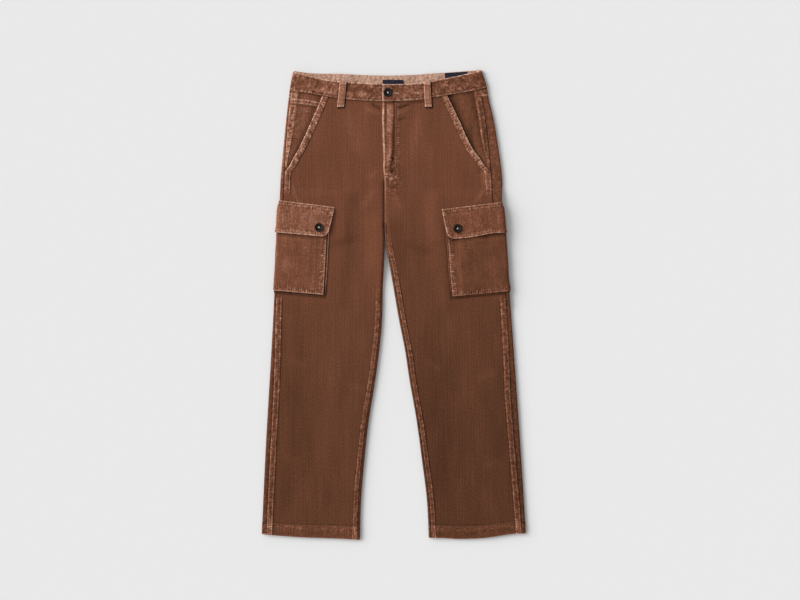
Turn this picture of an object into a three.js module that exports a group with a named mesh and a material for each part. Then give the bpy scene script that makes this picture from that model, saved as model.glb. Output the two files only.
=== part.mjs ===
import * as THREE from 'three';

// Corduroy cargo trousers, laid flat on their back and fastened. Millimetres, with +Y towards the
// waist and +Z up from the table. Right and left are the wearer's: the right leg lies at -X.

// Driving dimensions
const WALL = 1.6; // corduroy of the panels
const GAP = 0.3; // between pieces that are sewn to each other
const TUBE = 7; // height of a flat leg over both of its cloths
const FOLD = TUBE / 2; // outer radius where the cloth turns under
const QUARTER = (FOLD * Math.PI) / 2;
const BAND = 2.2; // waistband, two plies
const BAND_STEP = BAND - WALL; // how far the band stands above the panels
const RIDGE = 0.8; // height of a felled seam, a hem and a bound edge
const BEVEL = 1; // width of the step beside a raised strip
const SIDE_RIDGE = 12; // width of the felled side seam
const INSEAM_RIDGE = 9;
const RISE_RIDGE = 6; // width of the centre seam above the crotch
const SLANT_BAND = 7; // bound edge of the slanted pocket
const FLY_BAND = 22; // raised strip of the fly
const TOP = 470; // mean height of the front waist seam
const YOKE = 454; // height of the yoke seam at the sides
const CROTCH = 186;
const HEM = -520; // mean height of the leg openings
const HEM_TOP = -492;
const CENTRE_FRONT = -21.9;
const CENTRE_BACK = -12;
const BACK_BAND_HEIGHT = 41;
const WAIST_FADE = 150; // how far below the waist the rows still follow its curve
const HEM_FADE = 90; // how far above the hem the rows still follow its slope
const YOKE_FADE = 170;
const YOKE_DIP = 32; // how much lower the yoke seam is at the centre back

// Layers of the cargo pocket above the leg: gusset, pocket, flap
const GUSSET = { from: 0.3, to: 1.5 };
const POCKET = { from: 1.8, to: 3.2 };
const FLAP = { from: 3.5, to: 5.5 };
const STACK_REACH = 142; // from the leg's outer edge, how far the leg lies on the pocket
const STACK_END = 182;

// Facing behind the slanted pocket, and the coin pocket on it
const FACING_WALL = 1.2;
const FACING_LAP = { open: 15, closed: 20 }; // how far it runs on under the front panel
const COIN_WALL = 0.8;
const RIDGE_SHARE = 0.25; // most of the facing that the side seam may cover

// Outer edge of each leg
const OUTER_EDGE = [
  { y: 526, right: -226.6, left: 197 },
  { y: 490, right: -232.8, left: 208.7 },
  { y: 461, right: -236.6, left: 213.9 },
  { y: 416, right: -241.8, left: 224.4 },
  { y: 348, right: -248.5, left: 235.7 },
  { y: 281, right: -254.4, left: 244 },
  { y: 179, right: -260.4, left: 249.9 },
  { y: 74, right: -265, left: 255.2 },
  { y: 11, right: -268.8, left: 262.2 },
  { y: -124, right: -276.2, left: 271.2 },
  { y: -304, right: -286.8, left: 283.6 },
  { y: -484, right: -295.3, left: 295.1 },
  { y: -518, right: -296.4, left: 296.4 },
];

// Inner edge of each leg, from the crotch down
const INNER_EDGE = [
  { y: 186, right: -22.1, left: -21.7 },
  { y: 134, right: -22.3, left: -18.6 },
  { y: 89, right: -28.2, left: -9.6 },
  { y: 44, right: -29.9, left: -1.7 },
  { y: -34, right: -31.8, left: 11.8 },
  { y: -102, right: -37.7, left: 25.3 },
  { y: -169, right: -46.7, left: 35.4 },
  { y: -259, right: -60.2, left: 51.2 },
  { y: -349, right: -70.3, left: 63.4 },
  { y: -439, right: -78.2, left: 74.5 },
  { y: -528, right: -83.2, left: 79.3 },
];

// Side seam: how far it lies in from the outer edge
const SIDE_SEAM = [
  { y: 490, right: 4.8, left: 14 },
  { y: 416, right: 4.8, left: 19 },
  { y: 348, right: 6.5, left: 23 },
  { y: 281, right: 9.7, left: 25 },
  { y: 235, right: 9.5, left: 22 },
  { y: 74, right: 6, left: 14 },
  { y: 11, right: 5.2, left: 10 },
  { y: -124, right: 9, left: 12 },
  { y: -214, right: 11, left: 14.6 },
  { y: -518, right: 11, left: 9 },
];

// Inseam: how far it lies in from the inner edge
const INSEAM = [
  { y: 186, right: 4.8, left: 4.8 },
  { y: 11, right: 5.5, left: 6 },
  { y: -214, right: 6, left: 5 },
  { y: -518, right: 6.5, left: 6.5 },
];

// Slanted pocket edge
const SLANT = [
  { y: 472, right: -160, left: 119 },
  { y: 455, right: -166, left: 127.5 },
  { y: 420, right: -182, left: 144.5 },
  { y: 382, right: -199.5, left: 161.5 },
  { y: 348, right: -216.5, left: 179 },
  { y: 327, right: -230.5, left: 195 },
  { y: 312, right: -237, left: 203.5 },
];
const SLANT_LOW = 312; // lowest point of the slanted edge
const SLANT_END = 300; // where it has run into the side seam

// Waistband edges and the seam below it, across the front and at the back
const FRONT_TOP = [
  { x: -230, y: 524.2 },
  { x: -187, y: 513.8 },
  { x: -153, y: 506.2 },
  { x: -120, y: 501.5 },
  { x: -67, y: 498.3 },
  { x: -12, y: 495.6 },
  { x: 30, y: 496 },
  { x: 66, y: 498.9 },
  { x: 112, y: 507.7 },
  { x: 172, y: 520.5 },
  { x: 200, y: 528.2 },
];
const FRONT_SEAM = [
  { x: -236, y: 481.5 },
  { x: -194, y: 476.7 },
  { x: -160, y: 469.7 },
  { x: -106, y: 462 },
  { x: -27, y: 457.2 },
  { x: 29, y: 458.7 },
  { x: 67, y: 462 },
  { x: 112, y: 469.7 },
  { x: 181, y: 481.8 },
  { x: 212, y: 489.5 },
];
const BACK_TOP = [
  { x: -230, y: 525.8 },
  { x: -180, y: 520.3 },
  { x: -134, y: 519.4 },
  { x: -4, y: 515.1 },
  { x: 127, y: 522.6 },
  { x: 200, y: 528.2 },
];

// Cargo pockets: reach is measured from the leg's outer edge, drop is the slope of each line
const CARGO = {
  right: {
    front: 110, back: 90, flapFront: 124, flapTaper: 12, flapBack: 94,
    flapTop: 234.5, flapDrop: 0.125, flapBottom: 162.5, bottomDrop: 0.09,
    pocketBottom: 32.5, pocketDrop: 0.088,
  },
  left: {
    front: 128, back: 72, flapFront: 135, flapTaper: 7, flapBack: 77,
    flapTop: 230.5, flapDrop: 0.12, flapBottom: 161.5, bottomDrop: 0.11,
    pocketBottom: 31, pocketDrop: 0.094,
  },
};
const FLAP_CORNER = 15;
const FLAP_SEAM = 16; // height of the flap's sewn top, above the pocket's mouth
const GUSSET_SHOWS = 4.5;
const GUSSET_HIDDEN = 12;

// How high the leg lies, along its length, on the back half of its cargo pocket
const STACK = [
  { y: 265, height: 0 },
  { y: 240, height: FLAP.to },
  { y: 146, height: FLAP.to },
  { y: 134, height: POCKET.to },
  { y: 10, height: POCKET.to },
  { y: -20, height: 0 },
];

// How deep the upper cloth sinks between the seams, along the leg
const SINK = [
  { y: 470, depth: 0.2 },
  { y: 400, depth: 0.8 },
  { y: 300, depth: 0.8 },
  { y: 265, depth: 0 },
  { y: -20, depth: 0 },
  { y: -110, depth: 1 },
  { y: -440, depth: 1 },
  { y: -520, depth: 0.5 },
];
const SINK_FROM_SIDE = { from: 25, to: 75 };
const SINK_FROM_INSIDE = { from: 15, to: 60 };

// Heights of the rows of points along the panels
const HIP_ROWS = [430, 400, 370, 340, SLANT_LOW, SLANT_END, 282, 265, 240, 212];
const LEG_ROWS = [
  165, 146, 134, 112, 89, 44, 10, -20, -60, -110, -170, -260, -350, -440, HEM_TOP, HEM_TOP - BEVEL, HEM,
];
const FRONT_CROTCH_ROWS = [CROTCH + 0.3, CROTCH - 0.1];
const ROLL_ROWS = [
  { y: CROTCH - 0.6, roll: 0 },
  { y: CROTCH - 1.4, roll: 45 },
  { y: CROTCH - 2.2, roll: 90 },
  { y: CROTCH - 3, roll: 135 },
  { y: CROTCH - 3.8, roll: 180 },
];
const ROLL_STEP = 0.6; // spacing of the edge's points while it is unrolled
const UNDER_REACHES = [45, 92, STACK_REACH, STACK_END]; // bends of the lower cloth, from the outer edge
const UNDER_INNER = 14; // the last of them, from the inner edge

// Belt loops
const LOOP = { width: 15, wall: 1.3, end: 0.8, below: 15 };
const FRONT_LOOPS = [
  { name: 'right', top: -113.5, bottom: -119.5 },
  { name: 'left', top: 74.6, bottom: 78 },
];
const BACK_LOOPS = [
  { name: 'back_right', x: -112, flat: 10, end: 30 },
  { name: 'back_centre', x: CENTRE_BACK, flat: 38, end: 62 },
  { name: 'back_left', x: 84, flat: 10, end: 30 },
];
const BACK_LOOP = { wall: 1.2, above: 2, below: 8 };
const LOOP_LIFT = BACK_LOOP.wall + GAP;
const YOKE_FLAT = 9; // how far below the waistband the yoke stays raised over the loops
const YOKE_INSET = 40; // first point of the yoke's underside, from the outer edge

// Overlap of the waistband and the fly below it
const OVERLAP_END = -23.2;
const UNDERLAP_END = 13;
const UNDERLAP_START = { far: -66, near: -27 };
const BAND_AT_SIDE = { bottom: 482, top: 526 };
const BAND_EDGE = 0.5; // softening along the band's two edges
const BAND_SHARES = [0, 0.06, 0.94, 1];
const BAND_STATIONS = {
  right: [UNDERLAP_END, -8, UNDERLAP_START.near, UNDERLAP_START.far, -94, -120, -153, -187, -212],
  backRight: -195,
  backLeft: 165,
  left: [185, 150, 112, 78, 40, 8, OVERLAP_END],
};
const STACK_AT_BUTTON = { rise: 2.3, spread: 70, from: 360, to: 455 };
const FLY_SHIELD = { from: -42, to: 8, top: 455, bottom: 292, wall: 1.3, drop: WALL + 0.4 };

// Labels inside the back of the waistband, and buttons
const LABEL_WALL = 0.5;
const CENTRE_LABEL = { from: -25.3, to: 22.4, top: 505.5, bottom: 479 };
const SIDE_LABEL = { from: 114.8, to: 164.8, height: 27 };
const WAIST_BUTTON = { x: -12.9, y: 477.8, radius: 10 };
const FLAP_BUTTON = { right: { x: -167.7, y: 173.4 }, left: { x: 143, y: 170.9 }, radius: 9.6 };
const BUTTON = { height: 3, rim: 2.2, dish: 1.1, foot: 1.5, round: 0.8, sides: 24 };

// Colours
function cloth(color) {
  return new THREE.MeshStandardMaterial({ color, roughness: 0.95, metalness: 0 });
}
const CORDUROY = cloth(0x6b4231);
const CORDUROY_WORN = cloth(0x86593f);
const CORDUROY_BAND = cloth(0x7d513d);
const LABEL_CLOTH = cloth(0x1f2130);
const HORN = new THREE.MeshStandardMaterial({ color: 0x1c1614, roughness: 0.4, metalness: 0 });

// Share of the way from one limit to the other, held at both ends
function ramp(value, from, to) {
  return THREE.MathUtils.clamp((value - from) / (to - from), 0, 1);
}

// Straight lines between the rows of a table
function straight(table, by, column) {
  const rows = [...table].sort((a, b) => a[by] - b[by]);
  return (at) => {
    let i = 0;
    while (i < rows.length - 2 && at > rows[i + 1][by]) i += 1;
    const share = ramp(at, rows[i][by], rows[i + 1][by]);
    return THREE.MathUtils.lerp(rows[i][column], rows[i + 1][column], share);
  };
}

// A smooth curve through the rows of a table
function smooth(table, by, column) {
  const rows = [...table].sort((a, b) => a[by] - b[by]);
  const slope = (i) => {
    const a = rows[Math.max(i - 1, 0)];
    const b = rows[Math.min(i + 1, rows.length - 1)];
    return (b[column] - a[column]) / (b[by] - a[by]);
  };
  return (at) => {
    let i = 0;
    while (i < rows.length - 2 && at > rows[i + 1][by]) i += 1;
    const span = rows[i + 1][by] - rows[i][by];
    const t = THREE.MathUtils.clamp((at - rows[i][by]) / span, 0, 1);
    const start = rows[i][column];
    const end = rows[i + 1][column];
    const bend = t * (1 - t) * span;
    return start + (end - start) * t * t * (3 - 2 * t)
      + bend * ((1 - t) * slope(i) - t * slope(i + 1));
  };
}

const frontTop = smooth(FRONT_TOP, 'x', 'y');
const frontSeam = smooth(FRONT_SEAM, 'x', 'y');
const backTop = smooth(BACK_TOP, 'x', 'y');
const backSeam = (x) => backTop(x) - BACK_BAND_HEIGHT;
const stackHeight = straight(STACK, 'y', 'height');
const sinkDepth = straight(SINK, 'y', 'depth');

// A leg with its edges and seams as functions of height. inward is the way to the other leg.
function makeLeg(side, inward, hemOuter, hemInner) {
  const inner = smooth(INNER_EDGE, 'y', side);
  const leg = {
    side,
    inward,
    outer: smooth(OUTER_EDGE, 'y', side),
    sideSeam: smooth(SIDE_SEAM, 'y', side),
    inseam: smooth(INSEAM, 'y', side),
    slant: smooth(SLANT, 'y', side),
    cargo: CARGO[side],
  };
  leg.inner = (y) => (y > CROTCH ? CENTRE_FRONT - (inward * GAP) / 2 : inner(y));
  leg.width = (y) => Math.abs(leg.inner(y) - leg.outer(y));
  leg.reach = (x, y) => (x - leg.outer(y)) * inward;
  leg.hem = (x) => {
    const share = ramp(x, leg.outer(HEM), inner(HEM));
    return THREE.MathUtils.lerp(hemOuter, hemInner, share);
  };
  return leg;
}
const RIGHT = makeLeg('right', 1, -515.5, -527.8);
const LEFT = makeLeg('left', -1, -512.5, -527.2);

// Height of a row at x, on the upper cloth and on the lower one
function frontY(leg, row, x) {
  const atWaist = ramp(row, TOP - WAIST_FADE, TOP);
  const atHem = ramp(row, HEM + HEM_FADE, HEM);
  return row + (frontSeam(x) - TOP) * atWaist + (leg.hem(x) - HEM) * atHem;
}
function backY(leg, row, x) {
  const atWaist = ramp(row, TOP - WAIST_FADE, TOP);
  const atHem = ramp(row, HEM + HEM_FADE, HEM);
  const atYoke = row > YOKE ? ramp(row, TOP, YOKE) : ramp(row, YOKE - YOKE_FADE, YOKE);
  const dip = YOKE_DIP * ramp(leg.reach(x, row), 20, 210);
  return row + (backSeam(x) - TOP) * atWaist - dip * atYoke + (leg.hem(x) - HEM) * atHem;
}

// Height of the leg above the table where it lies on its pocket
function lift(leg, x, y) {
  return stackHeight(y) * (1 - ramp(leg.reach(x, y), STACK_REACH, STACK_END));
}

// Height of the outer face of the upper cloth
function topZ(leg, x, y) {
  const reach = leg.reach(x, y);
  const between = ramp(reach, SINK_FROM_SIDE.from, SINK_FROM_SIDE.to)
    * ramp(leg.width(y) - reach, SINK_FROM_INSIDE.from, SINK_FROM_INSIDE.to);
  const overButton = STACK_AT_BUTTON.rise * Math.exp(-(((x - CENTRE_BACK) / STACK_AT_BUTTON.spread) ** 2));
  return TUBE + lift(leg, x, y) - sinkDepth(y) * between
    + overButton * ramp(y, STACK_AT_BUTTON.from, STACK_AT_BUTTON.to);
}

// Height of the lower cloth above the table where it lies on the back belt loops
function loopLift(x) {
  const shares = BACK_LOOPS.map((loop) => ramp(Math.abs(x - loop.x), loop.end, loop.flat));
  return LOOP_LIFT * Math.max(...shares);
}

// A point of the leg moved out by off. s runs along the cloth from the leg's outer edge, over the
// top when positive and underneath when negative.
function skin(leg, s, y, off) {
  const x0 = leg.outer(y);
  const length = Math.abs(s);
  if (length < QUARTER) {
    const angle = s / FOLD;
    const x = x0 + leg.inward * (FOLD - (FOLD + off) * Math.cos(angle));
    return new THREE.Vector3(x, y, lift(leg, x0, y) + FOLD + (FOLD + off) * Math.sin(angle));
  }
  const x = x0 + leg.inward * (FOLD + length - QUARTER);
  const z = s > 0 ? topZ(leg, x, y) + off : lift(leg, x, y) - off;
  return new THREE.Vector3(x, y, z);
}
function along(reach) {
  return reach - FOLD + QUARTER;
}

// Closed body between two grids of points, its outer and its inner face
function shell(outer, inner) {
  const rows = outer.length;
  const columns = outer[0].length;
  const count = rows * columns;
  const points = [...outer.flat(), ...inner.flat()];
  const index = [];
  const quad = (a, b, c, d) => index.push(a, b, c, a, c, d);
  for (let i = 0; i < rows - 1; i += 1) {
    for (let j = 0; j < columns - 1; j += 1) {
      const a = i * columns + j;
      quad(a, a + 1, a + columns + 1, a + columns);
      quad(count + a, count + a + columns, count + a + columns + 1, count + a + 1);
    }
  }
  for (let i = 0; i < rows - 1; i += 1) {
    const first = i * columns;
    const last = first + columns - 1;
    quad(first, first + columns, count + first + columns, count + first);
    quad(last, count + last, count + last + columns, last + columns);
  }
  for (let j = 0; j < columns - 1; j += 1) {
    const end = (rows - 1) * columns + j;
    quad(j, count + j, count + j + 1, j + 1);
    quad(end, end + 1, count + end + 1, count + end);
  }
  return closed(points, index);
}

// Geometry from points and triangles, turned so that its faces point out
function closed(points, index) {
  let volume = 0;
  for (let i = 0; i < index.length; i += 3) {
    const [a, b, c] = [points[index[i]], points[index[i + 1]], points[index[i + 2]]];
    volume += a.dot(new THREE.Vector3().crossVectors(b, c));
  }
  const geometry = new THREE.BufferGeometry().setFromPoints(points);
  geometry.setIndex(volume > 0 ? index : index.reverse());
  geometry.computeVertexNormals();
  return geometry;
}

// Where a row meets a line given by its reach from the outer edge
function meet(leg, row, reach, rowY) {
  let y = row;
  let x = 0;
  for (let i = 0; i < 5; i += 1) {
    x = leg.outer(y) + leg.inward * reach(y);
    y = rowY(leg, row, x);
  }
  return { x, y };
}

// Reach of the front panel's outer edge: the slanted pocket edge above, the side seam below
function frontEdge(leg, y) {
  if (y >= SLANT_LOW) return Math.abs(leg.slant(y) - leg.outer(y));
  const atSlant = Math.abs(leg.slant(SLANT_LOW) - leg.outer(SLANT_LOW));
  return THREE.MathUtils.lerp(leg.sideSeam(y), atSlant, ramp(y, SLANT_END, SLANT_LOW));
}

// Reach of the front panel's inner edge: the centre seam above the crotch, the inseam below
function innerSeam(leg, y) {
  return y > CROTCH ? leg.width(y) : leg.width(y) - leg.inseam(y);
}

function innerBand(leg, y) {
  if (y <= CROTCH) return INSEAM_RIDGE;
  if (leg === RIGHT) return RISE_RIDGE;
  return THREE.MathUtils.lerp(RISE_RIDGE, FLY_BAND, ramp(y, 285, 320));
}

// Raise of the side seam, which is flat under the cargo pocket
function ridgeAt(y) {
  return RIDGE * Math.max(ramp(y, 240, 265), ramp(y, 10, -20));
}
function hemAt(row) {
  return row < HEM_TOP ? RIDGE : 0;
}

function frontPanel(leg) {
  const rows = [TOP - GAP, YOKE, ...HIP_ROWS, ...FRONT_CROTCH_ROWS, ...LEG_ROWS];
  const outer = [];
  const inner = [];
  rows.forEach((row) => {
    const band = row >= SLANT_LOW ? SLANT_BAND : SIDE_RIDGE;
    const columns = [
      { reach: (y) => frontEdge(leg, y), raise: (y) => ridgeAt(y) },
      { reach: (y) => frontEdge(leg, y) + band, raise: (y) => ridgeAt(y) },
      { reach: (y) => frontEdge(leg, y) + band + BEVEL },
      { reach: (y) => (frontEdge(leg, y) + band + STACK_REACH) / 2 },
      { reach: () => STACK_REACH },
      { reach: () => STACK_END },
      { reach: (y) => (STACK_END + innerSeam(leg, y) - innerBand(leg, y)) / 2 },
      { reach: (y) => innerSeam(leg, y) - innerBand(leg, y) - BEVEL },
      { reach: (y) => innerSeam(leg, y) - innerBand(leg, y), raise: () => RIDGE },
      { reach: (y) => innerSeam(leg, y), raise: () => RIDGE },
    ];
    const places = columns.map((column) => {
      const { x, y } = meet(leg, row, column.reach, frontY);
      const raise = column.raise ? column.raise(y) : 0;
      return { x, y, z: topZ(leg, x, y), raise: Math.max(raise, hemAt(row)) };
    });
    outer.push(places.map((p) => new THREE.Vector3(p.x, p.y, p.z + p.raise)));
    inner.push(places.map((p) => new THREE.Vector3(p.x, p.y, p.z - WALL)));
  });
  return shell(outer, inner);
}

// The five points of a quarter-step turn, from the top to the underside
const TURN = [90, 45, 0, -45, -90].map((angle) => THREE.MathUtils.degToRad(angle));

// Upper edge and outer fold of a back piece, from its side seam to its underside
function outerTurn(leg, row, off) {
  const edge = meet(leg, row, (y) => leg.sideSeam(y) - GAP, frontY);
  const points = [new THREE.Vector3(edge.x, edge.y, topZ(leg, edge.x, edge.y) + off(1))];
  TURN.forEach((angle) => {
    const share = (1 + Math.sin(angle)) / 2;
    const rowY = (l, r, x) => THREE.MathUtils.lerp(backY(l, r, x), frontY(l, r, x), share);
    const { y } = meet(leg, row, () => FOLD, rowY);
    points.push(skin(leg, FOLD * angle, y, off(share)));
  });
  return points;
}

// Underside point of a back piece at x
function underside(leg, row, x, off, extra = 0) {
  const y = backY(leg, row, x);
  return new THREE.Vector3(x, y, lift(leg, x, y) + extra - off(0));
}

// Inner end of a back panel: it lies flat above the crotch and rolls up to the inseam below it
function innerTurn(leg, row, roll, off) {
  const { y } = meet(leg, row, (h) => leg.width(h), backY);
  const edge = row > CROTCH ? backCentre(leg, row) : leg.inner(y);
  const tail = roll === 180 ? leg.inseam(y) - GAP - FOLD : 0;
  const points = [];
  const total = THREE.MathUtils.degToRad(roll);
  for (let k = 0; k < 5; k += 1) {
    const angle = (total * k) / 4;
    const flat = ROLL_STEP * (5 - k) * (1 - Math.min(roll / 90, 1));
    const start = edge - leg.inward * FOLD * Math.sin(Math.min(total, Math.PI / 2));
    const radius = FOLD + off(roll === 180 ? k / 4 : 0);
    const x = start + leg.inward * (radius * Math.sin(angle) - flat);
    points.push(new THREE.Vector3(x, y, FOLD - radius * Math.cos(angle)));
  }
  const last = points[4];
  const ahead = new THREE.Vector3(Math.cos(total) * leg.inward, 0, Math.sin(total));
  points.push(last.clone().addScaledVector(ahead, roll === 180 ? tail : ROLL_STEP));
  return points;
}

function backCentre(leg, row) {
  const x = THREE.MathUtils.lerp(CENTRE_FRONT, CENTRE_BACK, ramp(row, CROTCH, TOP));
  return x - (leg.inward * GAP) / 2;
}

function backPanel(leg) {
  const rows = [
    ...[YOKE - GAP, ...HIP_ROWS].map((y) => ({ y, roll: 0 })),
    ...ROLL_ROWS,
    ...LEG_ROWS.map((y) => ({ y, roll: 180 })),
  ];
  const face = (depth) => rows.map(({ y: row, roll }) => {
    const off = (share) => hemAt(row) * share * (depth === 0 ? 1 : 0) - depth;
    const bends = UNDER_REACHES.map((reach) => leg.outer(row) + leg.inward * reach);
    const nearEdge = (row > CROTCH ? backCentre(leg, row) : leg.inner(row)) - leg.inward * UNDER_INNER;
    return [
      ...outerTurn(leg, row, off),
      ...[...bends, nearEdge].map((x) => underside(leg, row, x, off)),
      ...innerTurn(leg, row, roll, off),
    ];
  });
  return shell(face(0), face(WALL));
}

// Places across the underside where the cloth bends over the back belt loops
function loopBends(leg) {
  const bends = BACK_LOOPS.flatMap(({ x, flat, end }) => [x - end, x - flat, x + flat, x + end]);
  return bends.filter((x) => (x - CENTRE_BACK) * leg.inward < 0)
    .sort((a, b) => (a - b) * leg.inward);
}

function yoke(leg) {
  const rows = [
    { row: TOP - GAP, rise: 1 },
    { row: TOP - YOKE_FLAT, rise: 1 },
    { row: YOKE, rise: 0 },
  ];
  const face = (depth) => rows.map(({ row, rise }) => {
    const off = () => -depth;
    const across = [leg.outer(row) + leg.inward * YOKE_INSET, ...loopBends(leg), backCentre(leg, row)];
    return [
      ...outerTurn(leg, row, off),
      ...across.map((x) => underside(leg, row, x, off, loopLift(x) * rise)),
    ];
  });
  return shell(face(0), face(WALL));
}

// Facing behind the slanted pocket: it drops under the front panel's edge
function facingPlace(leg, row, column, drop) {
  const edge = (y) => Math.abs(leg.slant(Math.max(y, SLANT_LOW)) - leg.outer(y));
  const seam = (y) => leg.sideSeam(y);
  const open = (y) => (y >= SLANT_LOW ? 1 : 0);
  const ridge = (y) => Math.min(SIDE_RIDGE, (edge(y) - seam(y)) * RIDGE_SHARE) * open(y);
  const lines = {
    seam: (y) => seam(y),
    ridge: (y) => seam(y) + ridge(y) + (BEVEL / 2) * (1 - open(y)),
    foot: (y) => seam(y) + ridge(y) + BEVEL,
    lip: (y) => (open(y) ? edge(y) - BEVEL : seam(y) + 3 * BEVEL),
    under: (y) => (open(y) ? edge(y) + FACING_LAP.open : seam(y) + FACING_LAP.closed),
  };
  const { x, y } = meet(leg, row, lines[column], frontY);
  const raised = (column === 'seam' || column === 'ridge') && open(y);
  const dropped = column === 'lip' || column === 'under' || !open(y);
  const z = topZ(leg, x, y) + (raised ? RIDGE : 0) - (dropped ? drop : 0);
  return new THREE.Vector3(x, y, z);
}

function facing(leg, drop) {
  const columns = ['seam', 'ridge', 'foot', 'lip', 'under'];
  const rows = [TOP - GAP, YOKE, ...HIP_ROWS.filter((row) => row >= SLANT_END)];
  const outer = rows.map((row) => columns.map((column) => facingPlace(leg, row, column, drop)));
  const inner = outer.map((points) => points.map((p) => {
    const base = topZ(leg, p.x, p.y);
    return new THREE.Vector3(p.x, p.y, Math.min(p.z, base) - FACING_WALL);
  }));
  return shell(outer, inner);
}

// Coin pocket on the right facing, with its mouth at the top
function coinPocket(leg, drop) {
  const rows = [YOKE, ...HIP_ROWS.slice(0, 3)];
  const face = (off) => rows.map((row) => {
    const foot = facingPlace(leg, row, 'foot', drop);
    const lip = facingPlace(leg, row, 'lip', drop);
    const under = facingPlace(leg, row, 'under', drop);
    const start = foot.clone().lerp(lip, 0.06);
    const end = lip.clone().lerp(under, 0.7);
    return [start, lip, end].map((p) => p.clone().setZ(p.z + off));
  });
  return shell(face(GAP + COIN_WALL), face(GAP));
}

// Points of the cloth at given places along the pocket, front edge first
function acrossPocket(front, back) {
  const turn = TURN.map((angle) => FOLD * angle);
  return [along(front), along(front * 0.55), ...turn, -along(back * 0.5), -along(back)];
}

function pocketPanel(leg) {
  const { cargo } = leg;
  const across = acrossPocket(cargo.front, cargo.back);
  const mouth = (s) => cargo.flapTop - FLAP_SEAM - 4 - cargo.flapDrop * Math.abs(s);
  const bottom = (s) => cargo.pocketBottom - cargo.pocketDrop * Math.abs(s);
  const rows = [mouth, () => 165, () => 146, () => 134, () => 89, () => 44, bottom];
  const face = (off) => rows.map((row) => across.map((s) => skin(leg, s, row(s), off)));
  return shell(face(POCKET.to), face(POCKET.from));
}

function gusset(leg) {
  const { cargo } = leg;
  const bottom = (s) => cargo.pocketBottom - cargo.pocketDrop * Math.abs(s);
  const side = (reach, sign) => {
    const heights = [165, 146, 134, 89, 50];
    const outerEdge = heights.map((y) => ({ s: sign * along(reach + GUSSET_SHOWS), y }));
    const innerEdge = heights.map((y) => ({ s: sign * along(reach - GUSSET_HIDDEN), y }));
    return { outerEdge, innerEdge };
  };
  const front = side(cargo.front, 1);
  const back = side(cargo.back, -1);
  const run = acrossPocket(cargo.front, cargo.back);
  const low = run.map((s, i) => {
    const stretch = i === 0 ? GUSSET_SHOWS : i === run.length - 1 ? -GUSSET_SHOWS : 0;
    return { s: s + stretch, y: bottom(s) - GUSSET_SHOWS };
  });
  const high = run.map((s, i) => {
    const shrink = i === 0 ? -GUSSET_HIDDEN : i === run.length - 1 ? GUSSET_HIDDEN : 0;
    return { s: s + shrink, y: bottom(s) + GUSSET_HIDDEN };
  });
  const edge = [...front.outerEdge, ...low, ...back.outerEdge.reverse()];
  const inside = [...front.innerEdge, ...high, ...back.innerEdge.reverse()];
  const face = (off) => edge.map((p, i) => [p, inside[i]].map((q) => skin(leg, q.s, q.y, off)));
  return shell(face(GUSSET.to), face(GUSSET.from));
}

function flap(leg) {
  const { cargo } = leg;
  const top = (s) => cargo.flapTop - cargo.flapDrop * Math.abs(s);
  const bottom = (s) => cargo.flapBottom - cargo.bottomDrop * Math.abs(s);
  const rows = [
    { share: 0, height: 0, taper: 0 },
    { share: 0.13, height: 0.45, taper: 0.13 },
    { share: 0.22, height: 1, taper: 0.22 },
    { share: 0.6, height: 1, taper: 0.6 },
    { share: 0.8, height: 1, taper: 0.8 },
    { share: 0.94, height: 1, taper: 0.94 },
    { share: 1, height: 1, taper: 1 },
  ];
  const face = (layer) => rows.map(({ share, height, taper }) => {
    const above = (1 - share) * (top(0) - bottom(0));
    const cut = Math.max(FLAP_CORNER - above, 0);
    const inset = FLAP_CORNER - Math.sqrt(FLAP_CORNER ** 2 - cut ** 2);
    const front = cargo.flapFront - cargo.flapTaper * taper - inset;
    const across = acrossPocket(front, cargo.flapBack - inset);
    const off = THREE.MathUtils.lerp(layer - FLAP.from + GAP, layer, height);
    return across.map((s) => skin(leg, s, THREE.MathUtils.lerp(top(s), bottom(s), share), off));
  });
  return shell(face(FLAP.to), face(FLAP.from));
}

// Waistband: one strip from the underlap round the back to the overlap
function bandPoint(station, share, depth) {
  const edge = share === 0 || share === 1 ? BAND_EDGE : 0;
  const off = depth === 0 ? -edge : -depth;
  const { x: x0, leg, kind, angle } = station;
  if (kind === 'front') {
    const y = THREE.MathUtils.lerp(frontSeam(x0), frontTop(x0), share);
    return new THREE.Vector3(x0, y, topZ(leg, x0, y) + BAND_STEP - station.sunk + off);
  }
  if (kind === 'back') {
    const y = THREE.MathUtils.lerp(backSeam(x0), backTop(x0), share);
    return new THREE.Vector3(x0, y, loopLift(x0) - off);
  }
  const edgeX = THREE.MathUtils.lerp(leg.outer(BAND_AT_SIDE.bottom), leg.outer(BAND_AT_SIDE.top), share);
  const turn = (TUBE + BAND_STEP) / 2;
  const x = edgeX + leg.inward * (turn - (turn + off) * Math.cos(angle));
  const front = THREE.MathUtils.lerp(frontSeam(x), frontTop(x), share);
  const back = THREE.MathUtils.lerp(backSeam(x), backTop(x), share);
  const y = THREE.MathUtils.lerp(back, front, (1 + Math.sin(angle)) / 2);
  return new THREE.Vector3(x, y, turn + (turn + off) * Math.sin(angle));
}

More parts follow.
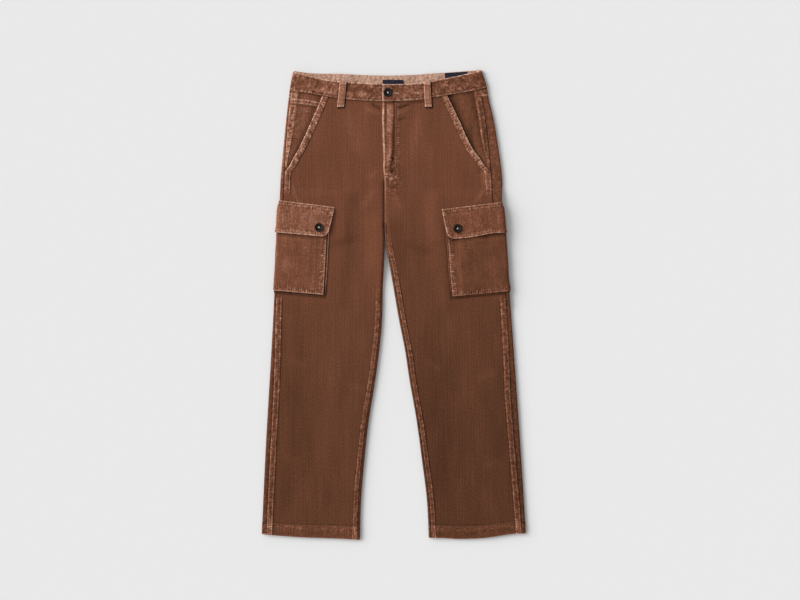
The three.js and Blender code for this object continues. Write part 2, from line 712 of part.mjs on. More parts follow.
function waistband() {
  const sunkFull = BAND + GAP;
  const front = (leg, xs) => xs.map((x) => {
    const sunk = leg === RIGHT ? sunkFull * ramp(x, UNDERLAP_START.far, UNDERLAP_START.near) : 0;
    return { kind: 'front', leg, x, sunk };
  });
  const fold = (leg, angles) => angles.map((angle) => ({ kind: 'fold', leg, angle, x: 0 }));
  const stations = [
    ...front(RIGHT, BAND_STATIONS.right),
    ...fold(RIGHT, TURN),
    { kind: 'back', leg: RIGHT, x: BAND_STATIONS.backRight },
    ...loopBends(RIGHT).map((x) => ({ kind: 'back', leg: RIGHT, x })),
    { kind: 'back', leg: LEFT, x: CENTRE_BACK },
    ...loopBends(LEFT).reverse().map((x) => ({ kind: 'back', leg: LEFT, x })),
    { kind: 'back', leg: LEFT, x: BAND_STATIONS.backLeft },
    ...fold(LEFT, [...TURN].reverse()),
    ...front(LEFT, BAND_STATIONS.left),
  ];
  const across = (station, depth) => BAND_SHARES.map((share) => bandPoint(station, share, depth));
  const face = (depth) => stations.map((station) => across(station, depth));
  return shell(face(0), face(BAND));
}

// Fly shield behind the opening, sewn to the right front
function flyShield() {
  const rows = [FLY_SHIELD.top, ...HIP_ROWS.filter((row) => row >= SLANT_LOW), FLY_SHIELD.bottom];
  const xs = [FLY_SHIELD.from, CENTRE_FRONT, FLY_SHIELD.to];
  const face = (drop) => rows.map((y) => xs.map((x) => {
    const leg = x < CENTRE_FRONT ? RIGHT : LEFT;
    const height = frontY(leg, y, x);
    return new THREE.Vector3(x, height, topZ(leg, x, height) - drop);
  }));
  return shell(face(FLY_SHIELD.drop), face(FLY_SHIELD.drop + FLY_SHIELD.wall));
}

// Front belt loop, over the waistband and the top of the front panel, thicker where its ends fold
function frontLoop(leg, loop) {
  const seam = frontSeam(loop.top);
  const top = frontTop(loop.top);
  const low = seam - LOOP.below;
  const rows = [
    { y: top + 1, base: BAND_STEP, end: LOOP.end },
    { y: top - 7, base: BAND_STEP, end: LOOP.end },
    { y: top - 9, base: BAND_STEP, end: 0 },
    { y: seam + 2, base: BAND_STEP, end: 0 },
    { y: seam - 4, base: BAND_STEP, end: 0 },
    { y: low + 8, base: 0.2, end: 0 },
    { y: low + 6, base: 0, end: LOOP.end },
    { y: low, base: 0, end: LOOP.end },
  ];
  const face = (off, ends) => rows.map(({ y, base, end }) => {
    const centre = THREE.MathUtils.lerp(loop.bottom, loop.top, ramp(y, low, top));
    return [-0.5, 0, 0.5].map((side) => {
      const x = centre + side * LOOP.width;
      const crown = side === 0 ? 0.3 * ends : 0;
      return new THREE.Vector3(x, y, topZ(leg, x, y) + base + off + end * ends + crown);
    });
  });
  return shell(face(GAP + LOOP.wall, 1), face(GAP, 0));
}

function backLoop(loop) {
  const top = backTop(loop.x) - BACK_LOOP.above;
  const bottom = backSeam(loop.x) - BACK_LOOP.below;
  const geometry = new THREE.BoxGeometry(LOOP.width, top - bottom, BACK_LOOP.wall);
  return geometry.translate(loop.x, (top + bottom) / 2, BACK_LOOP.wall / 2);
}

// Bare label lying on the inside of the back band
function label(from, to, topY, bottomY, base) {
  const xs = [from, (from + to) / 2, to];
  const face = (z) => [topY, bottomY].map((edge) => xs.map((x) => new THREE.Vector3(x, edge(x), z)));
  return shell(face(base + LABEL_WALL), face(base));
}

// Button with a raised rim round a dished face
function button(radius) {
  const { height, rim, dish, foot, round, sides } = BUTTON;
  const profile = [
    [0, 0], [radius - foot, 0], [radius, round], [radius, height - round], [radius - round, height],
    [radius - rim, height], [radius - rim - round, height - dish], [0, height - dish],
  ].map(([r, z]) => new THREE.Vector2(r, z));
  const lathe = new THREE.LatheGeometry(profile, sides);
  return lathe.rotateX(Math.PI / 2);
}

const trousers = new THREE.Group();
function add(name, geometry, material, position = [0, 0, 0]) {
  const mesh = new THREE.Mesh(geometry, material);
  mesh.name = name;
  mesh.position.set(...position);
  trousers.add(mesh);
}

[RIGHT, LEFT].forEach((leg) => {
  const drop = WALL + 2 * GAP + (leg === RIGHT ? COIN_WALL : 0);
  add(`${leg.side}_front`, frontPanel(leg), CORDUROY);
  add(`${leg.side}_back`, backPanel(leg), CORDUROY);
  add(`${leg.side}_yoke`, yoke(leg), CORDUROY);
  add(`${leg.side}_pocket_facing`, facing(leg, drop), CORDUROY_WORN);
  if (leg === RIGHT) add('coin_pocket', coinPocket(leg, drop), CORDUROY);
  add(`${leg.side}_cargo_gusset`, gusset(leg), CORDUROY_WORN);
  add(`${leg.side}_cargo_pocket`, pocketPanel(leg), CORDUROY);
  add(`${leg.side}_cargo_flap`, flap(leg), CORDUROY_BAND);
  const { x, y } = FLAP_BUTTON[leg.side];
  add(`${leg.side}_flap_button`, button(FLAP_BUTTON.radius), HORN, [x, y, topZ(leg, x, y) + FLAP.to + GAP]);
});

add('waistband', waistband(), CORDUROY_BAND);
add('fly_shield', flyShield(), CORDUROY);
const buttonZ = topZ(LEFT, WAIST_BUTTON.x, WAIST_BUTTON.y) + BAND_STEP + GAP;
add('waist_button', button(WAIST_BUTTON.radius), HORN, [WAIST_BUTTON.x, WAIST_BUTTON.y, buttonZ]);
FRONT_LOOPS.forEach((loop) => {
  const leg = loop.name === 'right' ? RIGHT : LEFT;
  add(`belt_loop_front_${loop.name}`, frontLoop(leg, loop), CORDUROY_BAND);
});
BACK_LOOPS.forEach((loop) => add(`belt_loop_${loop.name}`, backLoop(loop), CORDUROY_BAND));
const onBand = LOOP_LIFT + BAND + GAP;
add('centre_label', label(
  CENTRE_LABEL.from,
  CENTRE_LABEL.to,
  () => CENTRE_LABEL.top,
  () => CENTRE_LABEL.bottom,
  onBand,
), LABEL_CLOTH);
add('side_label', label(
  SIDE_LABEL.from,
  SIDE_LABEL.to,
  (x) => backTop(x) - 1,
  (x) => backTop(x) - SIDE_LABEL.height,
  BAND + GAP,
), LABEL_CLOTH);

export default trousers;
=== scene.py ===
# %% [markdown]
# # Corduroy cargo trousers, laid flat
# The garment lies on its back, fastened, and is seen from straight above. Its flat pattern, the
# height of every layer and the place of every seam come from the frame that this script loads.
# Cloth this calm needs no simulation: each panel is a thin closed shell whose points come from a
# few functions, so panels, seams, pockets and stitches all agree with each other.

# %% Frame
import math

import bmesh
import bpy
import numpy as np
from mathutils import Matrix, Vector


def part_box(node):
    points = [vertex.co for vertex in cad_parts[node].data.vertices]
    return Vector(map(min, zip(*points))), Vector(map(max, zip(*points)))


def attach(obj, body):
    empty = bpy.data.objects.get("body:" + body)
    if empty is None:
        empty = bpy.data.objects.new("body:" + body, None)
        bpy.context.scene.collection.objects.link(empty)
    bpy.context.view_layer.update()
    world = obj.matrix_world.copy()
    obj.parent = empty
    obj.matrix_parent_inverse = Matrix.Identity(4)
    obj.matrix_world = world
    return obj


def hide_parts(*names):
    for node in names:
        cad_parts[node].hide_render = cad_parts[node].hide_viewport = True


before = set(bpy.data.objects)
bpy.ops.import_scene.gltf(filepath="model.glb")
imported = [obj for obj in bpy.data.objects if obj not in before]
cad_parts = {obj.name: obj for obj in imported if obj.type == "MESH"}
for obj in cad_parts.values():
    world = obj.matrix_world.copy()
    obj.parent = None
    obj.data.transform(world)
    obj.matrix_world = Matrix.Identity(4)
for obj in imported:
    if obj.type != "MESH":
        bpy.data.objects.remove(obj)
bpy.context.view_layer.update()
MM = 0.001
print("frame:", len(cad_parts), "nodes")

# %% [markdown]
# ## Sizes
# All lengths are millimetres until a mesh is made. Right and left are the wearer's, so the right
# leg lies at -X. The tables give the outline of the garment, which is what a viewer sees first.

# %% Driving sizes
WALL = 1.6  # corduroy
GAP = 0.3  # between sewn pieces
TUBE = 7.0  # a flat leg over both of its cloths
FOLD = TUBE / 2
QUARTER = FOLD * math.pi / 2
BAND = 2.2
BAND_STEP = BAND - WALL
RIDGE = 0.8
TOP, YOKE, CROTCH, HEM, HEM_TOP = 470.0, 454.0, 186.0, -520.0, -492.0
CENTRE_FRONT, CENTRE_BACK = -21.9, -12.0
BACK_BAND_HEIGHT = 41.0
SLANT_LOW, SLANT_END = 312.0, 300.0
STACK_REACH, STACK_END = 142.0, 182.0
POCKET = (1.8, 3.2)  # layers of the cargo pocket above the leg
GUSSET = (0.3, 1.5)
FLAP = (3.5, 5.5)

OUTER_EDGE = {
    "y": [526, 490, 461, 416, 348, 281, 225, 185, 140, 74, 11, -124, -304, -484, -518],
    "right": [
        -226.6, -232.8, -236.6, -241.8, -248.5, -254.4, -256.2, -258.6, -261.6,
        -265, -268.8, -276.2, -286.8, -295.3, -296.4,
    ],
    "left": [
        197, 208.7, 213.9, 224.4, 235.7, 243.6, 242.6, 245.4, 250.6,
        255.2, 261.2, 271.2, 283.6, 295.1, 296.4,
    ],
}
INNER_EDGE = {
    "y": [186, 134, 89, 44, -34, -102, -169, -259, -349, -439, -528],
    "right": [-22.1, -20.9, -22.0, -24.4, -26.4, -32.6, -41.6, -56.0, -66.2, -73.6, -76.6],
    "left": [-21.7, -18.6, -9.6, -1.7, 11.8, 25.3, 35.4, 51.2, 63.4, 74.5, 79.3],
}
SIDE_SEAM = {
    "y": [490, 416, 348, 281, 235, 74, 11, -124, -214, -518],
    "right": [4.8, 4.8, 6.5, 9.7, 9.5, 6, 5.2, 9, 11, 11],
    "left": [14, 19, 23, 25, 22, 14, 10, 12, 14.6, 9],
}
INSEAM = {"y": [186, 11, -214, -518], "right": [4.8, 5.5, 6, 6.5], "left": [4.8, 6, 5, 6.5]}
SLANT = {
    "y": [472, 455, 420, 382, 348, 327, 312],
    "right": [-160, -166, -181.5, -198.5, -214.5, -227, -234],
    "left": [119, 127.5, 144.5, 161.5, 179, 195, 203.5],
}
FRONT_TOP = {
    "x": [-230, -187, -153, -120, -67, -12, 30, 66, 112, 172, 200],
    "y": [524.2, 513.8, 506.2, 501.5, 498.3, 495.6, 496, 498.9, 507.7, 520.5, 528.2],
}
FRONT_SEAM = {
    "x": [-236, -194, -160, -106, -27, 29, 67, 112, 181, 212],
    "y": [481.5, 476.7, 469.7, 462, 457.2, 458.7, 462, 469.7, 481.8, 489.5],
}
BACK_TOP = {
    "x": [-230, -180, -134, -4, 127, 200],
    "y": [525.8, 520.3, 519.4, 515.1, 522.6, 528.2],
}
STACK = {"y": [-20, 10, 134, 146, 240, 265], "height": [0, POCKET[1], POCKET[1], FLAP[1], FLAP[1], 0]}
SINK = {"y": [-520, -440, -110, -20, 265, 300, 400, 470], "depth": [0.5, 1, 1, 0, 0, 0.8, 0.8, 0.2]}
FLY_EDGE = {"y": [286, 303, 349, 400, 460], "x": [-21.9, -23.2, -24.6, -25.8, -26.0]}
HEM_CURVE = {
    "share": [0, 0.15, 0.3, 0.42, 0.68, 0.85, 1],  # of the way from the outer to the inner edge
    "right": [-515, -518.3, -520.8, -522.4, -524.4, -526, -527.8],
    "left": [-513.3, -514.8, -520, -523.6, -526, -524, -523.4],
}
CROTCH_SWELL = 6.0

CARGO = {
    "right": dict(front=110, back=90, flap_front=124, flap_taper=12, flap_back=94, flap_top=234.5,
                  flap_drop=0.125, flap_bottom=162.5, bottom_drop=0.09, bottom=32.5, drop=0.088),
    "left": dict(front=128, back=72, flap_front=135, flap_taper=7, flap_back=77, flap_top=230.5,
                 flap_drop=0.12, flap_bottom=161.5, bottom_drop=0.11, bottom=31, drop=0.094),
}

# %% [markdown]
# ## Curves and noise
# A smooth curve through a table gives each edge at any height. Uneven cloth needs noise that is
# the same on every run, so it comes from a seeded lattice rather than from a texture.


# %% Curves and noise
def smooth(keys, values):
    """A smooth curve through points, held straight at both ends."""
    order = np.argsort(keys)
    k = np.array(keys, float)[order]
    v = np.array(values, float)[order]
    before, after = np.maximum(np.arange(len(k)) - 1, 0), np.minimum(np.arange(len(k)) + 1, len(k) - 1)
    slope = (v[after] - v[before]) / (k[after] - k[before])

    def at(x):
        i = np.clip(np.searchsorted(k, x, side="right") - 1, 0, len(k) - 2)
        span = k[i + 1] - k[i]
        t = np.clip((x - k[i]) / span, 0, 1)
        bend = t * (1 - t) * span * ((1 - t) * slope[i] - t * slope[i + 1])
        return v[i] + (v[i + 1] - v[i]) * t * t * (3 - 2 * t) + bend

    return at


def eased(table, column):
    """Flat stretches joined by soft ramps."""
    k, v = np.array(table["y"], float), np.array(table[column], float)

    def at(y):
        i = np.clip(np.searchsorted(k, y, side="right") - 1, 0, len(k) - 2)
        t = np.clip((y - k[i]) / (k[i + 1] - k[i]), 0, 1)
        return v[i] + (v[i + 1] - v[i]) * t * t * (3 - 2 * t)

    return at


def ramp(value, start, stop):
    return np.clip((value - start) / (stop - start), 0, 1)


def ease(value, start, stop):
    t = ramp(value, start, stop)
    return t * t * (3 - 2 * t)


def bump(value, centre, width):
    return np.exp(-(((value - centre) / width) ** 2))


def noise(a, b, seed):
    """Smooth noise from -1 to 1, one lattice step per unit of a and b."""
    lattice = np.random.default_rng(seed).random((128, 128)) * 2 - 1
    a, b = np.broadcast_arrays(np.asarray(a, float), np.asarray(b, float))
    i, j = np.floor(a).astype(int), np.floor(b).astype(int)
    s, t = a - i, b - j
    s, t = s * s * (3 - 2 * s), t * t * (3 - 2 * t)
    pick = lambda di, dj: lattice[(i + di) % 128, (j + dj) % 128]
    low = pick(0, 0) * (1 - s) + pick(1, 0) * s
    high = pick(0, 1) * (1 - s) + pick(1, 1) * s
    return low * (1 - t) + high * t


front_top = smooth(FRONT_TOP["x"], FRONT_TOP["y"])
front_seam = smooth(FRONT_SEAM["x"], FRONT_SEAM["y"])
back_top = smooth(BACK_TOP["x"], BACK_TOP["y"])
fly_edge = smooth(FLY_EDGE["y"], FLY_EDGE["x"])
stack_height = eased(STACK, "height")
sink_depth = eased(SINK, "depth")

# %% [markdown]
# ## The legs as surfaces
# A leg lying flat is a low tube: an upper cloth, a lower cloth and a tight fold at each side. One
# class holds its edges as functions of height. `skin` walks round the outer fold, so a pocket that
# wraps the leg is the same walk moved outwards.


# %% Legs
class Leg:
    def __init__(self, side, inward):
        self.side, self.inward, self.cargo = side, inward, CARGO[side]
        self.outer = smooth(OUTER_EDGE["y"], OUTER_EDGE[side])
        self.side_seam = smooth(SIDE_SEAM["y"], SIDE_SEAM[side])
        self.inseam = smooth(INSEAM["y"], INSEAM[side])
        self.slant = smooth(SLANT["y"], SLANT[side])
        self.low_inner = smooth(INNER_EDGE["y"], INNER_EDGE[side])
        self.hem_curve = smooth(HEM_CURVE["share"], HEM_CURVE[side])

    def inner(self, y):
        return np.where(y > CROTCH, fly_edge(y) - self.inward * GAP / 2, self.low_inner(y))

    def width(self, y):
        return np.abs(self.inner(y) - self.outer(y))

    def reach(self, x, y):
        return (x - self.outer(y)) * self.inward

    def hem(self, x):
        return self.hem_curve(ramp(x, self.outer(HEM), self.low_inner(HEM)))


RIGHT, LEFT = Leg("right", 1), Leg("left", -1)
LOOP_WIDTH = 15
LOOP_TAIL = 18.5  # below the waist seam
FRONT_LOOPS = [(RIGHT, -113.5, -119.5), (LEFT, 74.6, 78.0)]  # x of the top and of the bottom


def painted_loop_shadow(x, y):
    """Painted shadow of each front belt loop: on the cloth to its right and under its lower end."""
    total = 0 * x
    for _, top_x, bottom_x in FRONT_LOOPS:
        low, high = front_seam(top_x) - LOOP_TAIL, front_top(top_x) + 1
        edge = bottom_x + (top_x - bottom_x) * ramp(y, low, high) + LOOP_WIDTH / 2
        beside = ease(x, edge + 4.6, edge + 1) * (x > edge - 3) * ease(y, low - 3, low + 2)
        below = ease(y, low - 5, low - 1.5) * (y < low + 2) * ease(np.abs(x - bottom_x - 1.5), 10, 7.5)
        total = np.maximum(total, np.maximum(beside, below))
    return total


def back_seam(x):
    return back_top(x) - BACK_BAND_HEIGHT


def front_y(leg, row, x):
    """Height of a row on the upper cloth, bent to the waist seam and to the hem."""
    at_waist, at_hem = ramp(row, TOP - 150, TOP), ramp(row, HEM + 90, HEM)
    return row + (front_seam(x) - TOP) * at_waist + (leg.hem(x) - HEM) * at_hem


def back_y(leg, row, x):
    at_waist, at_hem = ramp(row, TOP - 150, TOP), ramp(row, HEM + 90, HEM)
    at_yoke = np.where(row > YOKE, ramp(row, TOP, YOKE), ramp(row, YOKE - 170, YOKE))
    dip = 32 * ramp(leg.reach(x, row), 20, 210)
    return row + (back_seam(x) - TOP) * at_waist - dip * at_yoke + (leg.hem(x) - HEM) * at_hem


def crotch_swell(y):
    """Four seams cross at the crotch and prop up the inner edges of both legs."""
    return CROTCH_SWELL * ease(y, 30, 120) * ease(y, 215, 178)


def lift(leg, x, y):
    """The leg lies on the back half of its cargo pocket."""
    return stack_height(y) * (1 - ease(leg.reach(x, y), STACK_REACH, STACK_END))


# %% [markdown]
# ## Folds and creases
# The cloth is nearly flat, but not dead flat: a few soft troughs and ridges lie between the seams.
# Each is a row of the table: its two ends, its width and its height, negative for a trough.

# %% Creases
CREASES = [
    # x0, y0, x1, y1, width, height
    (-228, 277, -209, 224, 3.0, 0.9),
    (8, 441, 36, 453.5, 2.4, -2.1),
    (36, 453.5, 74, 460, 2.4, -1.6),
    (10, 431, 38, 445, 5.0, 0.7),
    (10, 414, 28, 422, 2.8, -1.2),
    (-50, 451.5, -25, 442, 2.4, -2.0),
    (-62, 441, -27, 430, 5.0, 0.7),
    (203, 305, 210, 262, 5.0, 1.1),
    (210, 262, 183, 226, 5.0, 0.9),
    (-100, 440, -75, 330, 16, 0.5),
    (60, 430, 35, 320, 14, 0.45),
    (-40, 262, -66, 214, 9, 0.55),
    (-8, 270, 22, 212, 9, 0.6),
    (-30, 300, -58, 282, 6, 0.4),
    (-10, 300, 16, 280, 6, 0.4),
    (-70, 150, -150, 128, 10, -0.4),
    (20, 140, 90, 118, 10, -0.45),
    (-205, -40, -215, -430, 24, -0.25),
    (-140, -20, -150, -440, 26, 0.22),
    (165, -20, 190, -450, 24, 0.28),
    (95, -60, 120, -430, 22, -0.3),
    (225, -60, 240, -440, 14, -0.25),
    (204, 309, 186, 304, 2.2, -0.9),
    (202, 304, 188, 293, 2.2, -0.8),
    (-235, 305, -219, 299, 2.2, -0.8),
    (-235, -118, -190, -140, 8, 0.35),
    (-110, -175, -62, -190, 7, 0.35),
    (240, -150, 190, -172, 8, 0.4),
    (70, -120, 110, -146, 7, 0.35),
    (-260, -330, -205, -352, 9, 0.35),
    (250, -352, 205, -368, 9, 0.35),
]


def creases(x, y):
    total = np.zeros(np.broadcast(x, y).shape)
    for x0, y0, x1, y1, width, height in CREASES:
        length = math.hypot(x1 - x0, y1 - y0)
        ux, uy = (x1 - x0) / length, (y1 - y0) / length
        along = (x - x0) * ux + (y - y0) * uy
        across = (x - x0) * -uy + (y - y0) * ux + 3 * np.sin(along / 23)
        taper = ease(along, -0.15 * length, 0.25 * length) * ease(along, 1.15 * length, 0.75 * length)
        total = total + height * taper * bump(across, 0, width)
    return total


def top_z(leg, x, y):
    """Height of the outer face of the upper cloth."""
    reach = leg.reach(x, y)
    between = ease(reach, 25, 75) * ease(leg.width(y) - reach, 15, 60)
    over_button = 2.3 * bump(x, CENTRE_BACK, 70) * ramp(y, 360, 455)
    to_inner = leg.width(y) - reach
    near_edge = ease(reach, 12, 32) * np.maximum(ease(to_inner, 8, 24), ease(y, CROTCH + 24, CROTCH + 54))
    covered = ease(y, 245, 238) * ease(y, 6, 16)
    calm = 1 - covered * (1 - ease(reach, 125, 160))
    uneven = 0.5 * noise(x / 31, y / 47, 3) + 0.12 * noise(x / 11, y / 16, 4)
    relief = creases(x, y) * ease(y, 469, 461) + uneven * ease(y, 462, 440)
    relief = relief * near_edge * calm
    swell = crotch_swell(y) * ease(to_inner, 48, 6)
    return TUBE + lift(leg, x, y) - sink_depth(y) * between + over_button + relief + swell


def skin(leg, s, y, off):
    """Points of the leg moved out by off. s runs from the outer edge, over the top when positive."""
    s, y, off = np.broadcast_arrays(np.asarray(s, float), np.asarray(y, float), np.asarray(off, float))
    x0, length = leg.outer(y), np.abs(s)
    angle = np.clip(s / FOLD, -math.pi / 2, math.pi / 2)
    turn_x = x0 + leg.inward * (FOLD - (FOLD + off) * np.cos(angle))
    turn_z = lift(leg, x0, y) + FOLD + (FOLD + off) * np.sin(angle)
    flat_x = x0 + leg.inward * (FOLD + length - QUARTER)
    flat_z = np.where(s > 0, top_z(leg, flat_x, y) + off, lift(leg, flat_x, y) - off)
    in_turn = length < QUARTER
    return np.stack([np.where(in_turn, turn_x, flat_x), y, np.where(in_turn, turn_z, flat_z)], -1)


def along(reach):
    return reach - FOLD + QUARTER


# %% [markdown]
# ## From grids to cloth
# A panel is two grids of points, its outer and its inner face, closed round the rim. Blender could
# give the thickness with Solidify, but two grids let a pocket be open at its mouth and let the
# faces keep apart where layers cross. Numbers ride on every point, and the cloth's material reads
# them: how worn it is, with painted light and shade added along creases and on a few lit edges;
# how much sewing has roped it; how much painted shade falls on it in seams, gaps and furrows and
# beside or under raised parts; how far the stitches have pinched it; and its course, which is the
# distance along and across the nearest seam. The UV map is in metres and follows the cloth, so the
# wales run with the grain.


# %% Shell builder
def make_mesh(name, points, faces, materials, face_slots, uv, marks, course):
    mesh = bpy.data.meshes.new(name)
    mesh.from_pydata((points * MM).tolist(), [], faces.tolist())
    for material in materials:
        mesh.materials.append(material)
    mesh.polygons.foreach_set("material_index", face_slots)
    mesh.polygons.foreach_set("use_smooth", np.ones(len(faces), bool))
    layer = mesh.uv_layers.new(name="cloth")
    corner = np.zeros(len(mesh.loops), int)
    mesh.loops.foreach_get("vertex_index", corner)
    layer.data.foreach_set("uv", (uv[corner] * MM).ravel())
    for mark, values in marks.items():
        mesh.attributes.new(mark, "FLOAT", "POINT").data.foreach_set("value", values.astype(np.float32))
    seam = mesh.attributes.new("course", "FLOAT_VECTOR", "POINT")
    seam.data.foreach_set("vector", (course * MM).ravel().astype(np.float32))
    mesh.update()
    piece = bpy.data.objects.new(name, mesh)
    bpy.context.scene.collection.objects.link(piece)
    return piece


# Marks on each point: wear, with some painted light and shade; seam roping; painted shade in seams, gaps and furrows
# and beside or under raised parts; and stitch pinching.
MARKS = ("wear_and_painted_light", "rope", "deep", "pinch")


def shell(name, outer, inner, uv, marks, material, lining=None):
    """Closed body between two grids of points. lining is the material of its inner face."""
    rows, columns = outer.shape[:2]
    count = rows * columns
    index = np.arange(count).reshape(rows, columns)

    def quads(a, b, c, d):
        return np.stack([a.ravel(), b.ravel(), c.ravel(), d.ravel()], 1)

    face_out = quads(index[:-1, :-1], index[:-1, 1:], index[1:, 1:], index[1:, :-1])
    face_in = face_out[:, ::-1] + count
    rims = []
    for line, flip in ((index[0], True), (index[-1], False), (index[:, 0], False), (index[:, -1], True)):
        a, b = (line[1:], line[:-1]) if flip else (line[:-1], line[1:])
        rims.append(quads(a, b, b + count, a + count))
    faces = np.concatenate([face_out, face_in, *rims])
    points = np.concatenate([outer.reshape(-1, 3), inner.reshape(-1, 3)])
    corner = points[faces]
    volume = 0.0
    for i, j, k in ((0, 1, 2), (0, 2, 3)):
        volume += np.sum(corner[:, i] * np.cross(corner[:, j], corner[:, k]))
    if volume < 0:
        faces = faces[:, ::-1]
    slots = np.zeros(len(faces), int)
    if lining:
        slots[len(face_out) : 2 * len(face_out)] = 1
    both = {m: np.tile(np.broadcast_to(marks.get(m, 0.0), (rows, columns)).ravel(), 2) for m in MARKS}
    uvs = np.tile(uv.reshape(-1, 2), (2, 1))
    run, span = marks.get("course", (uv[..., 1], uv[..., 0]))
    run, span = np.broadcast_to(run, (rows, columns)), np.broadcast_to(span, (rows, columns))
    course = np.tile(np.stack([run, span, 0 * run], -1).reshape(-1, 3), (2, 1))
    materials = [material, lining] if lining else [material]
    return make_mesh(name, points, faces, materials, slots, uvs, both, course)


def moved(points, off):
    """The same grid moved up."""
    return np.concatenate([points[..., :2], points[..., 2:] + np.broadcast_to(off, points.shape[:2])[..., None]], -1)


def spread(start, stop, step):
    """Values from start to stop, about a step apart, with one close to each end for a crisp rim."""
    count = max(int(round(abs(stop - start) / step)), 2)
    inside = np.linspace(start, stop, count + 1)
    lip = 0.4 * np.sign(stop - start)
    return np.concatenate([[start], [start + lip], inside[1:-1], [stop - lip], [stop]])


# %% [markdown]
# ## Materials
# Fine-wale cotton corduroy is a pile cloth: ridges of cut pile with bare ground between them. It
# has no gloss, a soft sheen at glancing angles, and it pales wherever pile rubs off, first along
# seams, bands and edges. One function makes every finish of it. A single tone runs through a
# colour ramp from near black, through the body colour, to the bare worn cotton. Wales, streaks,
# seam roping and wear add to that tone, and so do painted light and shade: painted shade takes it
# towards the dark end, painted highlights towards the pale end.

# %% Small helpers for materials
def linear(code):
    """sRGB hex to linear colour."""
    parts = [int(code[i : i + 2], 16) / 255 for i in (1, 3, 5)]
    return [p / 12.92 if p <= 0.04045 else ((p + 0.055) / 1.055) ** 2.4 for p in parts] + [1.0]


def add_node(tree, kind, settings=None, **links):
    """Adds a node. settings are its properties, links its inputs: a value or another node's socket."""
    node = tree.nodes.new(kind)
    for key, value in (settings or {}).items():
        setattr(node, key, value)
    for key, value in links.items():
        socket = node.inputs[int(key[1:])] if key[0] == "i" and key[1:].isdigit() else node.inputs[key]
        if isinstance(value, bpy.types.NodeSocket):
            tree.links.new(value, socket)
        else:
            socket.default_value = value
    return node


def maths(tree, operation, a, b=0.0):
    return add_node(tree, "ShaderNodeMath", {"operation": operation}, i0=a, i1=b).outputs[0]


def new_material(name, roughness, sheen=0.0, specular=0.3):
    material = bpy.data.materials.new(name)
    material.use_nodes = True
    tree = material.node_tree
    shader = tree.nodes["Principled BSDF"]
    shader.inputs["Roughness"].default_value = roughness
    shader.inputs["Specular IOR Level"].default_value = specular
    if sheen:
        shader.inputs["Sheen Weight"].default_value = sheen
        shader.inputs["Sheen Roughness"].default_value = 0.45
        shader.inputs["Sheen Tint"].default_value = linear("#d9b49c")
    return material, tree, shader


def colour_ramp(tree, tone, stops):
    ramp_node = add_node(tree, "ShaderNodeValToRGB", Fac=tone)
    elements = ramp_node.color_ramp.elements
    while len(elements) < len(stops):
        elements.new(0.5)
    for element, (place, code) in zip(elements, stops):
        element.position, element.color = place, linear(code)
    return ramp_node.outputs["Color"]


# %% Corduroy
WALE = 3.4  # mm; the real cloth's 2.3 mm is finer than the render shows, so it is drawn coarser
STITCH = 5.2  # mm from pucker to pucker; real stitches of 3 mm are drawn coarser too
# The ramp's darkest stops stand for painted shade, its palest for bare worn cotton and painted highlights.
DYE_AND_PAINTED_LIGHT = [
    (0.0, "#200a03"),
    (0.25, "#553321"),
    (0.45, "#754732"),
    (0.62, "#986853"),
    (0.8, "#bf927b"),
    (1.0, "#e6c2ae"),
]


